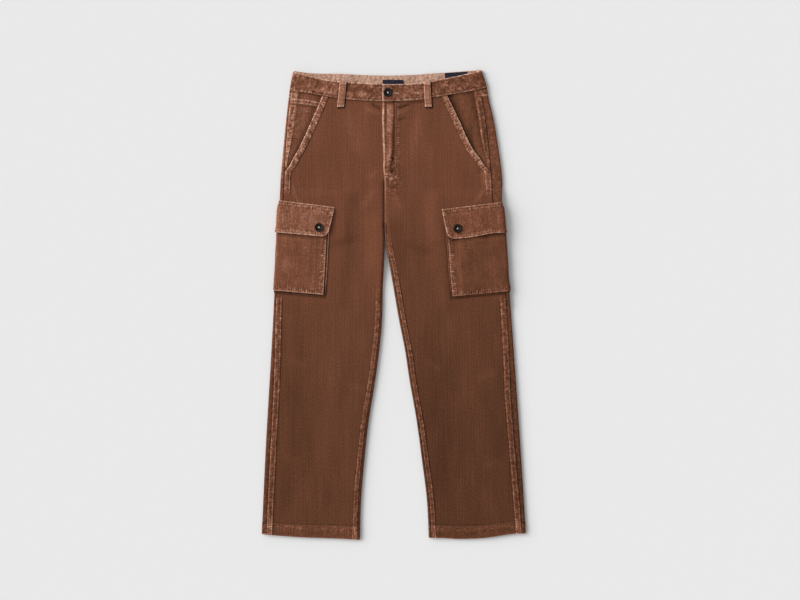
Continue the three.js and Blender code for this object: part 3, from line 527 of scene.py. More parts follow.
def corduroy(name, tone=0.265, speckle=0.31, roping=1.15):
    material, tree, shader = new_material(name, 0.92, sheen=0.1, specular=0.12)
    uv = add_node(tree, "ShaderNodeUVMap", {"uv_map": "cloth"}).outputs["UV"]
    place = add_node(tree, "ShaderNodeTexCoord").outputs["Object"]
    course = add_node(tree, "ShaderNodeAttribute", {"attribute_name": "course"}).outputs["Vector"]
    mark = {
        key: add_node(tree, "ShaderNodeAttribute", {"attribute_name": key}).outputs["Fac"] for key in MARKS
    }

    def stretched(vector, width, length, detail=2.0):
        """Noise about zero, with grains of a width and a length in millimetres."""
        scale = (1 / (width * MM), 1 / (length * MM), 1.0)
        place = add_node(tree, "ShaderNodeMapping", Vector=vector, Scale=scale).outputs["Vector"]
        node = add_node(tree, "ShaderNodeTexNoise", Vector=place, Scale=1.0, Detail=detail)
        return maths(tree, "SUBTRACT", node.outputs["Fac"], 0.5)

    def faded(socket, start, stop, low, high):
        settings = {"interpolation_type": "SMOOTHSTEP"}
        links = dict(i0=socket, i1=start, i2=stop, i3=low, i4=high)
        return add_node(tree, "ShaderNodeMapRange", settings, **links).outputs["Result"]

    across = add_node(tree, "ShaderNodeSeparateXYZ", Vector=uv).outputs["X"]
    wander = maths(tree, "MULTIPLY", stretched(uv, 25.0, 60.0, 1.0), 5.0)
    turns = maths(tree, "MULTIPLY", across, 2 * math.pi / (WALE * MM))
    wale = maths(tree, "SINE", maths(tree, "ADD", turns, wander))
    streak = stretched(uv, 6.0, 120.0)
    fleck = stretched(uv, 2.7, 4.2, 3.0)
    ropes = maths(tree, "ADD", stretched(course, 3.6, 7.0, 1.5), stretched(course, 9.0, 10.0, 1.0))
    roped = maths(tree, "MULTIPLY", ropes, mark["rope"])
    run = add_node(tree, "ShaderNodeSeparateXYZ", Vector=course).outputs["X"]
    beat = maths(tree, "MULTIPLY", run, 2 * math.pi / (STITCH * MM))
    beat = maths(tree, "SINE", maths(tree, "ADD", beat, wander))
    uneven = maths(tree, "ADD", maths(tree, "MULTIPLY", stretched(course, 15.0, 11.0, 1.0), 2.4), 1.0)
    pinched = maths(tree, "MULTIPLY", maths(tree, "MULTIPLY", beat, uneven), mark["pinch"])
    grain = maths(tree, "ADD", maths(tree, "MULTIPLY", mark["rope"], 1.2), 1.0)
    grain = maths(tree, "MULTIPLY", grain, fleck)
    where = add_node(tree, "ShaderNodeSeparateXYZ", Vector=place).outputs
    # The tone is paler towards the waist, and darker on the left leg (+X) below the hips.
    paler_to_waist = faded(where["Y"], -0.36, 0.25, 0.03, 0.135)
    far_leg = maths(tree, "MULTIPLY", faded(where["X"], -0.02, 0.06, 0.0, -0.045), faded(where["Y"], 0.35, 0.15, 0.0, 1.0))
    total = tone
    terms = [
        (wale, 0.03),
        (streak, 0.11),
        (grain, speckle),
        (stretched(uv, 40.0, 120.0), 0.11),
        # roping and stitch puckers also lighten and darken the tone where their bump does: painted light and shade of
        # the puckers
        (roped, roping),
        (pinched, 0.17),
        (paler_to_waist, 1.0),
        (far_leg, 1.0),
        # This mark is wear, and also painted light and shade along creases and painted highlights on a few lit edges.
        (mark["wear_and_painted_light"], 0.52),
        # painted shade: takes the tone towards the dark end of the ramp where shade falls
        (mark["deep"], -0.35),
    ]
    for socket, weight in terms:
        total = maths(tree, "ADD", maths(tree, "MULTIPLY", socket, weight), total)
    # Heights in millimetres
    height = maths(tree, "ADD", maths(tree, "MULTIPLY", wale, 0.1), maths(tree, "MULTIPLY", fleck, 0.42))
    height = maths(tree, "ADD", height, maths(tree, "MULTIPLY", roped, 1.8))
    height = maths(tree, "ADD", height, maths(tree, "MULTIPLY", pinched, 0.4))
    relief = add_node(tree, "ShaderNodeBump", Height=height, Strength=1.0, Distance=MM)
    tree.links.new(colour_ramp(tree, total, DYE_AND_PAINTED_LIGHT), shader.inputs["Base Color"])
    tree.links.new(relief.outputs["Normal"], shader.inputs["Normal"])
    return material


CORDUROY = corduroy("corduroy")
CORDUROY_TRIM = corduroy("corduroy_trim", tone=0.285, speckle=0.33, roping=0.85)

# %% [markdown]
# The inside of the waistband shows the cloth's back: plain pale cotton twill, whose fine diagonal
# comes from a wave across both directions of the UV map.

# %% Twill, thread, label and button
def twill(name, dark, light, pitch):
    material, tree, shader = new_material(name, 0.9, sheen=0.05, specular=0.2)
    uv = add_node(tree, "ShaderNodeUVMap", {"uv_map": "cloth"}).outputs["UV"]
    parts = add_node(tree, "ShaderNodeSeparateXYZ", Vector=uv).outputs
    diagonal = maths(tree, "ADD", parts["X"], parts["Y"])
    line = maths(tree, "SINE", maths(tree, "MULTIPLY", diagonal, 2 * math.pi / (pitch * MM)))
    soft = add_node(tree, "ShaderNodeTexNoise", Vector=uv, Scale=180.0, Detail=3.0).outputs["Fac"]
    soft = maths(tree, "SUBTRACT", maths(tree, "MULTIPLY", soft, 2.4), 0.7)
    tone = maths(tree, "ADD", maths(tree, "MULTIPLY", line, 0.12), soft)
    tree.links.new(colour_ramp(tree, tone, [(0.25, dark), (0.75, light)]), shader.inputs["Base Color"])
    relief = add_node(tree, "ShaderNodeBump", Height=line, Strength=0.4, Distance=0.1 * MM)
    tree.links.new(relief.outputs["Normal"], shader.inputs["Normal"])
    return material


def plain(name, code, roughness, sheen=0.0, specular=0.5, uneven=0.0):
    """One colour with a little unevenness, on the object's own coordinates."""
    material, tree, shader = new_material(name, roughness, sheen, specular)
    place = add_node(tree, "ShaderNodeTexCoord").outputs["Object"]
    cloud = add_node(tree, "ShaderNodeTexNoise", Vector=place, Scale=900.0, Detail=2.0).outputs["Fac"]
    base = linear(code)
    dark = [c * (1 - uneven) for c in base[:3]] + [1.0]
    light = [min(c * (1 + uneven), 1) for c in base[:3]] + [1.0]
    node = add_node(tree, "ShaderNodeMix", {"data_type": "RGBA"}, i0=cloud, i6=dark, i7=light)
    tree.links.new(node.outputs[2], shader.inputs["Base Color"])
    relief = add_node(tree, "ShaderNodeBump", Height=cloud, Strength=0.2, Distance=0.05 * MM)
    tree.links.new(relief.outputs["Normal"], shader.inputs["Normal"])
    return material


LINING = twill("cotton_twill_inside", "#9d7661", "#cba590", 2.2)
LABEL = twill("woven_label_navy", "#171825", "#2c2d3d", 1.6)
THREAD = plain("polyester_thread_brown", "#94674e", 0.7, sheen=0.1, uneven=0.25)
THREAD_TAN = plain("polyester_thread_tan", "#dab79c", 0.7, uneven=0.2)
THREAD_PALE = plain("polyester_thread_cream", "#e2cdb0", 0.7, uneven=0.2)
HORN = plain("moulded_polyester_button", "#100d0b", 0.45, specular=0.2, uneven=0.3)

# %% [markdown]
# ## Front panels
# Each front runs from the slanted pocket edge and the side seam to the fly, the crotch and the
# inseam. Columns of points crowd where seams are felled, because a felled seam is a raised band
# with a step at each side. `columns` turns a place within a band or between the bands into a
# distance from the leg's outer edge.


# %% Front panels
def front_edge(leg, y):
    at_slant = np.abs(leg.slant(np.maximum(y, SLANT_LOW)) - leg.outer(np.maximum(y, SLANT_LOW)))
    share = ramp(y, SLANT_END, SLANT_LOW)
    return leg.side_seam(y) * (1 - share) + at_slant * share


def inner_seam(leg, y):
    return leg.width(y) - leg.inseam(y) * ease(y, 184.5, 181)


def outer_band(y):
    return 14 - 2 * ease(y, 312, 290)


def inner_band(leg, y):
    above = 6 + (16 * ease(y, 285, 300) if leg is LEFT else 0)
    return above + (9 - above) * ease(y, 190, 178)


def settle(leg, rows, reach, row_y):
    """Where rows meet lines given by their reach from the outer edge."""
    y = rows
    for _ in range(6):
        x = leg.outer(y) + leg.inward * reach(y)
        y = row_y(leg, rows, x)
    return x, y


BAND_STEPS = np.array([0, 0.04, 0.1, 0.18, 0.28, 0.4, 0.5, 0.6, 0.72, 0.82, 0.9, 0.96, 1.02, 1.1, 1.25])
FLY_STEPS = np.concatenate([[0, 0.02], np.linspace(0.05, 1.25, 28)])
ZONE_OUT, ZONE_MID, ZONE_IN = 0, 1, 2


def panel_columns(leg, middle=68):
    inside = FLY_STEPS if leg is LEFT else BAND_STEPS
    place = np.concatenate([BAND_STEPS, np.linspace(0, 1, middle + 2)[1:-1], inside[::-1]])
    zone = np.concatenate([0 * BAND_STEPS + ZONE_OUT, np.full(middle, ZONE_MID), 0 * inside + ZONE_IN])
    return place[None, :], zone[None, :]


def band_profile(q):
    """Height of a felled band over its width: soft shoulders and two stitched furrows."""
    plateau = ease(q, -0.02, 0.1) * ease(q, 1.12, 0.96)
    return plateau * (1 - 0.4 * bump(q, 0.22, 0.07) - 0.4 * bump(q, 0.8, 0.07))


def band_edges(q):
    """Where a felled band wears pale: along both of its edges."""
    return bump(q, 0.06, 0.09) + bump(q, 0.95, 0.09)


def panel_rows():
    hem = [HEM_TOP + 1.5, HEM_TOP, HEM_TOP - 1.5, -500, -506, -512, -517, HEM + 0.5, HEM]
    crotch = [187.5, 186.2, 185.4, 184.6, 183.8, 183, 182.2, 181.4, 180.6]
    upper = np.arange(TOP - GAP - 0.4, CROTCH + 3, -3.2)
    lower = np.arange(CROTCH - 8, HEM_TOP + 3, -3.6)
    return np.concatenate([[TOP - GAP], upper, crotch, lower, hem])


def hem_profile(row, x):
    """The turned-up hem: a raised band with short puckers where its stitching has drawn up."""
    inside = ease(row, HEM_TOP + 1, HEM_TOP - 5)
    pucker = noise(x / 7, row / 26, 11) * bump(row, HEM_TOP - 5, 9)
    return 0.7 * inside + 0.45 * pucker * (0.3 + 0.7 * inside)


fly_strip_end = smooth([300, 323, 445, 455], [-7, -4.8, 0.6, -2.5])


def fly_crest(y):
    """Middle of the fly's rolled edge, which wanders a little."""
    return fly_edge(y) + 2.7 + 0.5 * np.sin(y / 17) + 0.9 * noise(y / 13, 0.5, 71)


def fly_profile(x, y):
    """Heights of the fly: rolled edge, pressed strip, and a trough before its J of stitches."""
    live = ease(y, 286, 300)
    end = fly_strip_end(y) + 0.8 * np.sin(y / 13)
    crest = 1.3 * bump(x, fly_crest(y), 3.0)
    strip = 1.3 * ease(x, -18.5, -12) * ease(x, end + 2.5, end - 5) * ease(y, 460, 440)
    trough = -0.8 * bump(x, end + 3.6, 3.4) * ease(y, 292, 345)
    return live * (crest + strip + trough), live


def cargo_shade(leg, x, y):
    """Painted shade on the cloth round the cargo pocket: just below it and beside its front edge."""
    cargo, reach = leg.cargo, leg.reach(x, y)
    below = cargo["bottom"] - cargo["drop"] * reach - y
    beyond = reach - cargo["front"]
    outside = np.maximum(np.maximum(below, beyond), 0)
    return ease(outside, 10, 3) * ease(y, 185, 150)


def front_panel(leg):
    rows = panel_rows()[:, None]
    place, zone = panel_columns(leg)
    side, inside = zone == ZONE_OUT, zone == ZONE_IN

    def reach(y):
        start, stop = front_edge(leg, y), inner_seam(leg, y)
        wide, narrow = outer_band(y), inner_band(leg, y)
        low, high = start + 1.25 * wide, stop - 1.25 * narrow
        middle = low + (high - low) * place
        return np.select([side, inside], [start + place * wide, stop - place * narrow], middle)

    x, y = settle(leg, rows + 0 * place, reach, front_y)
    base = top_z(leg, x, y)
    on_slant = ease(y, 292, 316)
    under_pocket = 1 - np.maximum(ease(y, 240, 262), ease(y, 26, 8))
    below_fly = ease(y, 286, 274) * ease(y, 181, 187)
    inseam_shows = ease(y, 60, -10) if leg is RIGHT else ease(y, 178, 120)
    strength = np.select([side, inside], [1 - under_pocket, inseam_shows + 0 * place], 0.0)
    valley = 2.6 * bump(x, CENTRE_FRONT, 3.4) * below_fly
    roping = 0.3 * noise(y / 6.5, x / 18, 21 if leg is RIGHT else 22)
    relief = band_profile(place) * strength * (RIDGE + 0.2 + roping) + hem_profile(rows, x) - valley
    fly, on_fly = fly_profile(x, y)
    if leg is LEFT:
        relief = relief + fly * inside
    outer = np.stack([x, y, base + relief], -1)
    inner = np.stack([x, y, base - WALL - valley], -1)

    edges = band_edges(place) - 0.7 * side * on_slant * bump(place, 0.95, 0.09)
    wear_and_painted_light = np.where(side, strength * (0.1 + (0.42 + 0.14 * on_slant) * edges + 0.2 * on_slant * ease(place, 1.1, 0.3)), strength * (0.1 + 0.36 * edges))
    wear_and_painted_light = wear_and_painted_light * ease(place, 1.2, 1.0) * (side | inside)
    hem = 0.05 * ease(rows, HEM_TOP, HEM_TOP - 3) + 0.3 * ease(rows, HEM + 4, HEM) + 0.12 * bump(rows, HEM_TOP - 6, 6)
    at_hem = ease(rows, HEM_TOP + 6, HEM_TOP - 2)
    at_hem_seam = ease(rows, HEM_TOP + 24, HEM_TOP - 4) * bump(place, 0.5, 0.5) * (side | inside)
    drawn = np.clip(noise(x / 4.2, rows / 60, 76), 0, 1) * bump(rows, HEM_TOP - 9, 10) * at_hem
    hem = hem + 0.3 * at_hem_seam + 0.32 * drawn * ~(side | inside)
    # painted light and shade: the tone follows the creases, paler on their ridges and darker in their troughs
    crease_shading = 0.2 * creases(x, y) * ease(y, 469, 461)
    near_crotch = np.exp(-(((x + 1) / 17) ** 2) - ((y - 285) / 40) ** 2)
    rope = np.where(side | inside, strength * ease(place, 1.25, 1.0), 0.0) * (0.55 + 0.1 * on_slant)
    rope = np.maximum(rope, (0.12 + 0.25 * bump(rows, HEM_TOP - 6, 9)) * at_hem)
    pinch = (0.7 - 0.3 * on_slant * side) * (bump(place, 0.22, 0.1) + bump(place, 0.8, 0.1)) * strength * (side | inside)
    pinch = pinch + 0.22 * side * on_slant * ease(place, 1.1, 0.9) + 0.5 * bump(rows, HEM_TOP - 5, 4) + 0.1 * at_hem
    open_thigh = 0.85 * ease(y, 30, 90) * inside * (leg is LEFT)
    # Painted shade: a dark line beside the felled bands, under the hem's step and the waistband, round the cargo
    # pocket, in the centre-front valley and beside the belt loops.
    deep = 0.7 * bump(place, 1.14, 0.08) * strength * (1 - open_thigh) + 0.12 * bump(rows, HEM_TOP + 1.5, 1.6)
    deep = deep + 0.6 * bump(rows, TOP - 1.2, 2.4)
    deep = deep + 0.5 * cargo_shade(leg, x, y)
    deep = deep + 0.9 * bump(x, CENTRE_FRONT, 1.8) * below_fly + 1.1 * painted_loop_shadow(x, y)
    if leg is RIGHT:
        wear_and_painted_light = wear_and_painted_light + 0.3 * np.exp(-(((x + 236) / 9) ** 2) - ((y - 318) / 15) ** 2)
    if leg is LEFT:
        end = fly_strip_end(y) + 0.8 * np.sin(y / 13)
        on_fly = on_fly * inside
        strip = ease(x, -17.5, -13) * ease(x, end, end - 3) * ease(y, 458, 440) * ease(y, 300, 330)
        crest = bump(x, fly_crest(y), 3.2) * (0.6 + 0.4 * ease(y, 452, 430)) * (1 + 0.35 * noise(y / 8, 1.5, 75))
        crest = crest + (0.42 + 0.2 * noise(x / 7, y / 19, 72)) * strip
        ticks = bump(x, fly_crest(y) + 4.6, 1.9) * (0.75 + 0.5 * noise(y / 9, 2.5, 73)) * (0.35 + 0.65 * ease(y, 395, 430))
        # painted highlight: a lit line along the left front's edge beside the centre seam, below the fly
        below = bump(x, CENTRE_FRONT + 2.2, 1.9) * ease(y, 182, 190) * (0.25 + 0.4 * ease(y, 205, 285))
        at_tack = np.exp(-(((x + 13) / 9) ** 2) - ((y - 288) / 8) ** 2)
        stitched = bump(x, 9.4, 3.0) * ease(y, 300, 320)
        wear_and_painted_light = wear_and_painted_light + 0.8 * crest * on_fly + 0.12 * near_crotch + below * (1 - on_fly) + 0.35 * at_tack
        # painted shade along the fly's trough, in its stitch puckers and near the crotch
        shade = (0.55 - 0.2 * ease(y, 345, 300)) * bump(x, end + 3.4, 3.2) + 0.5 * ticks + 0.25 * ease(y, 448, 460)
        deep = deep + on_fly * shade + 0.3 * near_crotch
        rope = rope + on_fly * 0.3 + 0.7 * near_crotch + 0.65 * stitched + 0.7 * at_tack
        pinch = pinch + 0.95 * stitched + 0.35 * ticks * on_fly
    turned = at_hem * ~side
    course = (y * (1 - turned) + x * turned + 0.8 * np.where(side, on_slant * place * 7, 0), x * (1 - turned) + y * turned)
    marks = {"wear_and_painted_light": wear_and_painted_light + hem + crease_shading, "rope": rope, "deep": deep, "pinch": pinch, "course": course}
    return shell(f"{leg.side}_front_cloth", outer, inner, np.stack([x, y], -1), marks, CORDUROY)


fronts = {leg.side: front_panel(leg) for leg in (RIGHT, LEFT)}
print("fronts:", [len(piece.data.polygons) for piece in fronts.values()])

# %% [markdown]
# ## Back panels
# A back wraps both folds up to the seams on the front, so it is what shows at the garment's edges.
# Above the crotch it ends flat at the centre seam. Below it, the inner end rolls up round the
# inner fold, and a few close rows take it from one to the other.


# %% Back panels
def back_centre(leg, row):
    x = CENTRE_FRONT + (CENTRE_BACK - CENTRE_FRONT) * ramp(row, CROTCH, TOP)
    return x - leg.inward * GAP / 2


TURN = np.radians(np.linspace(90, -90, 11))


def outer_turn(leg, rows, off):
    """Side seam edge, then round the outer fold to the underside. rows is a column."""
    tail = np.array([0, 0.05, 0.12, 0.22, 0.45, 0.75])[None, :]
    x, y = settle(
        leg, rows + 0 * tail, lambda h: (leg.side_seam(h) - GAP) * (1 - tail) + (FOLD + 0.3) * tail, front_y
    )
    top = np.stack([x, y, top_z(leg, x, y) + off(1.0, rows)], -1)
    share = (1 + np.sin(TURN))[None, :] / 2

    def turn_y(l, r, at):
        return back_y(l, r, at) * (1 - share) + front_y(l, r, at) * share

    _, y = settle(leg, rows + 0 * share, lambda h: FOLD + 0 * h, turn_y)
    turn = skin(leg, FOLD * TURN[None, :], y, off(share, rows))
    return np.concatenate([top, turn], 1)


def underside(leg, rows, x, off, extra=0.0):
    y = back_y(leg, rows, x)
    return np.stack([x, y, lift(leg, x, y) + extra - off(0.0, rows) + 0 * x], -1)


def inner_turn(leg, rows, roll, off):
    """The inner end of a back, rolled up by an angle in degrees for each row."""
    _, y = settle(leg, rows, leg.width, back_y)
    edge = np.where(rows > CROTCH, back_centre(leg, rows), leg.inner(y))
    total = np.radians(roll)
    k = np.arange(9)[None, :] / 8
    angle = total * k
    flat = 0.4 * (12 - 8 * k) * (1 - np.minimum(roll / 90, 1))
    start = edge - leg.inward * FOLD * np.sin(np.minimum(total, math.pi / 2))
    radius = FOLD + off(np.where(roll >= 180, k, 0.0), rows)
    x = start + leg.inward * (radius * np.sin(angle) - flat)
    taller = 1 + crotch_swell(rows) / TUBE
    z = (FOLD - radius * np.cos(angle)) * taller
    step = np.where(roll >= 180, (leg.inseam(y) - GAP - FOLD) / 4, 0.4)
    out = np.arange(1, 5)[None, :] * step
    tail_x = x[:, -1:] + leg.inward * np.cos(total) * out
    tail_z = z[:, -1:] + np.sin(total) * out * taller
    place = np.concatenate([x, tail_x], 1)
    return np.stack([place, y + 0 * place, np.concatenate([z, tail_z], 1)], -1)


def back_panel(leg):
    upper = np.concatenate([[YOKE - GAP, YOKE - GAP - 0.4], np.arange(YOKE - 4, CROTCH + 2, -4.2)])
    rolls = np.linspace(0, 180, 9)
    rolled = CROTCH - 0.6 - np.linspace(0, 3.2, 9)
    lower = panel_rows()[panel_rows() < CROTCH - 6]
    rows = np.concatenate([upper, rolled, lower])[:, None]
    roll = np.concatenate([np.zeros(len(upper)), rolls, np.full(len(lower), 180)])[:, None]

    def face(depth):
        def off(share, row):
            hem = 0.7 * ease(row, HEM_TOP, HEM_TOP - 2.5) if depth == 0 else 0
            return hem * share - depth

        turn = outer_turn(leg, rows, off)
        near = np.where(rows > CROTCH, back_centre(leg, rows), leg.inner(rows)) - leg.inward * 12
        share = np.linspace(0.02, 1, 40)[None, :]
        start = leg.outer(rows) + leg.inward * 6
        x = start + (near - start) * share
        return np.concatenate(
            [turn, underside(leg, rows, x, off), inner_turn(leg, rows, roll, off)], 1
        )

    outer, inner = face(0), face(WALL)
    step = np.linalg.norm(np.diff(outer, axis=1), axis=-1)
    travelled = np.concatenate([np.zeros((len(rows), 1)), np.cumsum(step, 1)], 1)
    uv = np.stack([travelled, outer[..., 1]], -1)
    count = outer.shape[1]
    from_side = np.arange(count)[None, :]
    on_fold = ease(from_side, 18, 8) + ease(from_side, count - 14, count - 5)
    to_seam = np.minimum(travelled, travelled[:, -1:] - travelled)
    hem_wear = 0.12 * ease(rows, HEM_TOP, HEM_TOP - 3) + 0.3 * ease(rows, HEM + 4, HEM)
    to_centre = travelled[:, -1:] - travelled
    seat = ease(rows, CROTCH - 2, CROTCH + 6) * (leg is LEFT)
    seat_edges = bump(to_centre, 1.5, 1.6) + bump(to_centre, 9.5, 1.8)
    marks = {
        "wear_and_painted_light": hem_wear + (0.3 if leg is RIGHT else 0) * on_fold * ease(rows, 250, 330) + 0.3 * seat * seat_edges,
        "rope": 0.3 * on_fold + 0.3 * ease(rows, HEM_TOP + 6, HEM_TOP - 4) + 0.3 * seat * ease(to_centre, 13, 10),
        # painted shade: a dark band at each end of the back, beside the side seam and beside the inner seam
        "deep": bump(to_seam, 0, 2.2) * (0.5 + 0.4 * ease(rows, 0, 60)) * (1 - 0.8 * bump(rows, 135, 50)),
    }
    return shell(f"{leg.side}_back_cloth", outer, inner, uv, marks, CORDUROY)


backs = {leg.side: back_panel(leg) for leg in (RIGHT, LEFT)}
print("backs:", [len(piece.data.polygons) for piece in backs.values()])

# %% [markdown]
# ## Yokes
# The yoke joins the back to the waistband. On the front only its ends show, at the side folds.
# Underneath, it rises over the back belt loops so that the garment still lies flat.

# %% Yokes
BACK_LOOPS = [("right", -112, 10, 30), ("centre", CENTRE_BACK, 38, 62), ("left", 84, 10, 30)]
LOOP_LIFT = 1.5


def loop_lift(x):
    return LOOP_LIFT * np.maximum.reduce([ease(np.abs(x - at), end, flat) for _, at, flat, end in BACK_LOOPS])


def yoke(leg):
    rows = np.concatenate([spread(TOP - GAP, YOKE, 2.6)])[:, None]
    rise = ease(rows, YOKE, TOP - 9)

    def face(depth):
        def off(share, row):
            return -depth + 0 * row * share

        start, stop = leg.outer(rows) + leg.inward * 5, back_centre(leg, rows)
        x = start + (stop - start) * np.linspace(0.02, 1, 70)[None, :]
        return np.concatenate([outer_turn(leg, rows, off), underside(leg, rows, x, off, loop_lift(x) * rise)], 1)

    outer, inner = face(0), face(WALL)
    uv = outer[..., :2]
    marks = {
        "wear_and_painted_light": 0.1 + (0.3 if leg is RIGHT else 0.5) * bump(rows, YOKE, 4) + 0 * outer[..., 0],
        "rope": 0.6 + 0 * outer[..., 0],
        # painted shade just above the yoke seam and under the waistband
        "deep": 0.3 * bump(rows, YOKE + 6, 1.5) + 0.6 * bump(rows, TOP - 1.2, 2.4) + 0 * outer[..., 0],
    }
    return shell(f"{leg.side}_yoke_cloth", outer, inner, uv, marks, CORDUROY)


yokes = {leg.side: yoke(leg) for leg in (RIGHT, LEFT)}

# %% [markdown]
# ## Pocket facings and the coin pocket
# Behind each slanted edge lies a facing of the same cloth. It starts with the felled side seam at
# the leg's edge and drops under the front panel. The coin pocket is a patch on the right facing,
# with a doubled band at its mouth.


# %% Facings
def facing_grid(leg, rows, drop):
    """Points of the facing's outer face, from the side seam to under the front panel."""
    parts = {
        "ridge": np.array([0, 0.05, 0.15, 0.3, 0.5, 0.7, 0.85, 0.95, 1.0]),
        "fall": np.linspace(0, 1, 12)[1:],
        "lap": np.linspace(0, 1, 5)[1:],
    }
    place = np.concatenate(list(parts.values()))[None, :]
    part = np.repeat([0, 1, 2], [len(v) for v in parts.values()])[None, :]

    def lines(y):
        high = np.maximum(y, SLANT_LOW)
        opening = ramp(y, SLANT_END, SLANT_LOW)
        seam = leg.side_seam(y)
        edge = np.abs(leg.slant(high) - leg.outer(high))
        ridge = np.minimum(12, (edge - leg.side_seam(high)) * 0.25) * opening + 0.5
        lip = np.maximum((edge - 1) * opening + (seam + 3) * (1 - opening), seam + ridge + 1)
        return seam, ridge, lip

    def reach(y):
        seam, ridge, lip = lines(y)
        return np.select(
            [part == 0, part == 1],
            [seam + ridge * place, seam + ridge + (lip - seam - ridge) * place],
            lip + 16 * place,
        )

    x, y = settle(leg, rows + 0 * place, reach, front_y)
    opening = ramp(y, SLANT_END, SLANT_LOW)
    on_ridge = band_profile(place) * (part == 0)
    fall = np.select([part == 0, part == 1], [0 * place, place], 1.0)
    fall = fall * opening + (1 - opening)
    z = top_z(leg, x, y) + RIDGE * on_ridge * opening - drop * fall
    return np.stack([x, y, z], -1), place, part, opening


def facing(leg):
    drop = WALL + 2 * GAP + (0.8 if leg is RIGHT else 0)
    rows = np.concatenate([spread(TOP - GAP, SLANT_END, 3.2)])[:, None]
    outer, place, part, opening = facing_grid(leg, rows, drop)
    inner = outer.copy()
    inner[..., 2] = np.minimum(outer[..., 2], top_z(leg, outer[..., 0], outer[..., 1])) - 1.2
    ridge = (part == 0) * opening
    # Painted shade on the facing: beside the slanted edge, where it drops under the front panel, all over the left
    # facing, and under the waistband.
    behind = 0.45 * bump(place, 0.06, 0.1) + 0.6 * ease(place, 0.6, 1.0)
    # painted light and shade of soft drapes, drawn as smooth noise in the tone
    drape_shading = 0.14 * noise(outer[..., 0] / 11 + outer[..., 1] / 90, outer[..., 1] / 55, 74)
    marks = {
        "wear_and_painted_light": ridge * ((0.28 if leg is RIGHT else 0.12) + 0.4 * band_edges(place))
        + (0.16 if leg is RIGHT else 0.04) + drape_shading,
        "rope": 0.45 * ridge + 0.15,
        "deep": (part == 1) * behind + (part == 2) * 0.9 + (0 if leg is RIGHT else 0.24)
        + 0.6 * bump(rows, TOP - 1.2, 2.4),
        "pinch": (0.9 if leg is RIGHT else 0.6) * ridge * (bump(place, 0.22, 0.1) + bump(place, 0.8, 0.1)),
    }
    return shell(f"{leg.side}_facing_cloth", outer, inner, outer[..., :2], marks, CORDUROY)


facings = {leg.side: facing(leg) for leg in (RIGHT, LEFT)}


def coin_pocket(leg):
    rows = spread(YOKE, 370, 2.2)[:, None]
    points, place, part, _ = facing_grid(leg, rows, WALL + 2 * GAP + 0.8)
    keep = (part[0] < 2) | (place[0] < 0.8)
    base, place, part = points[:, keep], place[:, keep], part[:, keep]
    band = ease(rows, YOKE - 12, YOKE - 10)
    lines = bump(rows, YOKE - 1, 1.6) + bump(rows, YOKE - 9, 1.6)
    side = np.minimum(np.cumsum(np.ones_like(place), 1) - 1, 3) / 3
    thick = 0.8 * side + 0.5 * band
    ridge = (part == 0) * (1 - band)
    marks = {
        "wear_and_painted_light": 0.16 + 0.1 * band + 0.5 * lines + ridge * (0.12 + 0.4 * band_edges(place)),
        "rope": 0.2 + 0.4 * band + 0.45 * ridge,
        "pinch": 0.3 * lines + 0 * place,
        # painted shade: under the pocket's band, where the facing drops away, and under the front panel
        "deep": 0.5 * bump(rows, YOKE - 13, 2) + (part == 1) * (0.55 * ease(place, 0.6, 1)) + (part == 2) * 0.9,
        "course": (base[..., 0] * band + base[..., 1] * (1 - band), base[..., 1] * band + base[..., 0] * (1 - band)),
    }
    return shell("coin_pocket_cloth", moved(base, GAP + thick), moved(base, GAP), base[..., :2], marks, CORDUROY)


coin = coin_pocket(RIGHT)

# %% [markdown]
# ## Cargo pockets
# A cargo pocket sits over the side seam, so half of it shows on the front and half lies under the
# leg. Three pieces stack up: a folded gusset round three sides, the pocket, and a flap of two
# plies. Each is the leg's own surface moved out, so it wraps the fold without a gap.


# %% Pocket grids
def wrap_places(front, back, step):
    """Places round the outer fold, from the pocket's front edge to its back edge."""
    ahead = spread(along(front), QUARTER, step)[:-2]
    turn = np.linspace(QUARTER, -QUARTER, 13)
    behind = spread(-QUARTER, -along(back), step * 1.4)[2:]
    return np.concatenate([ahead, turn, behind])


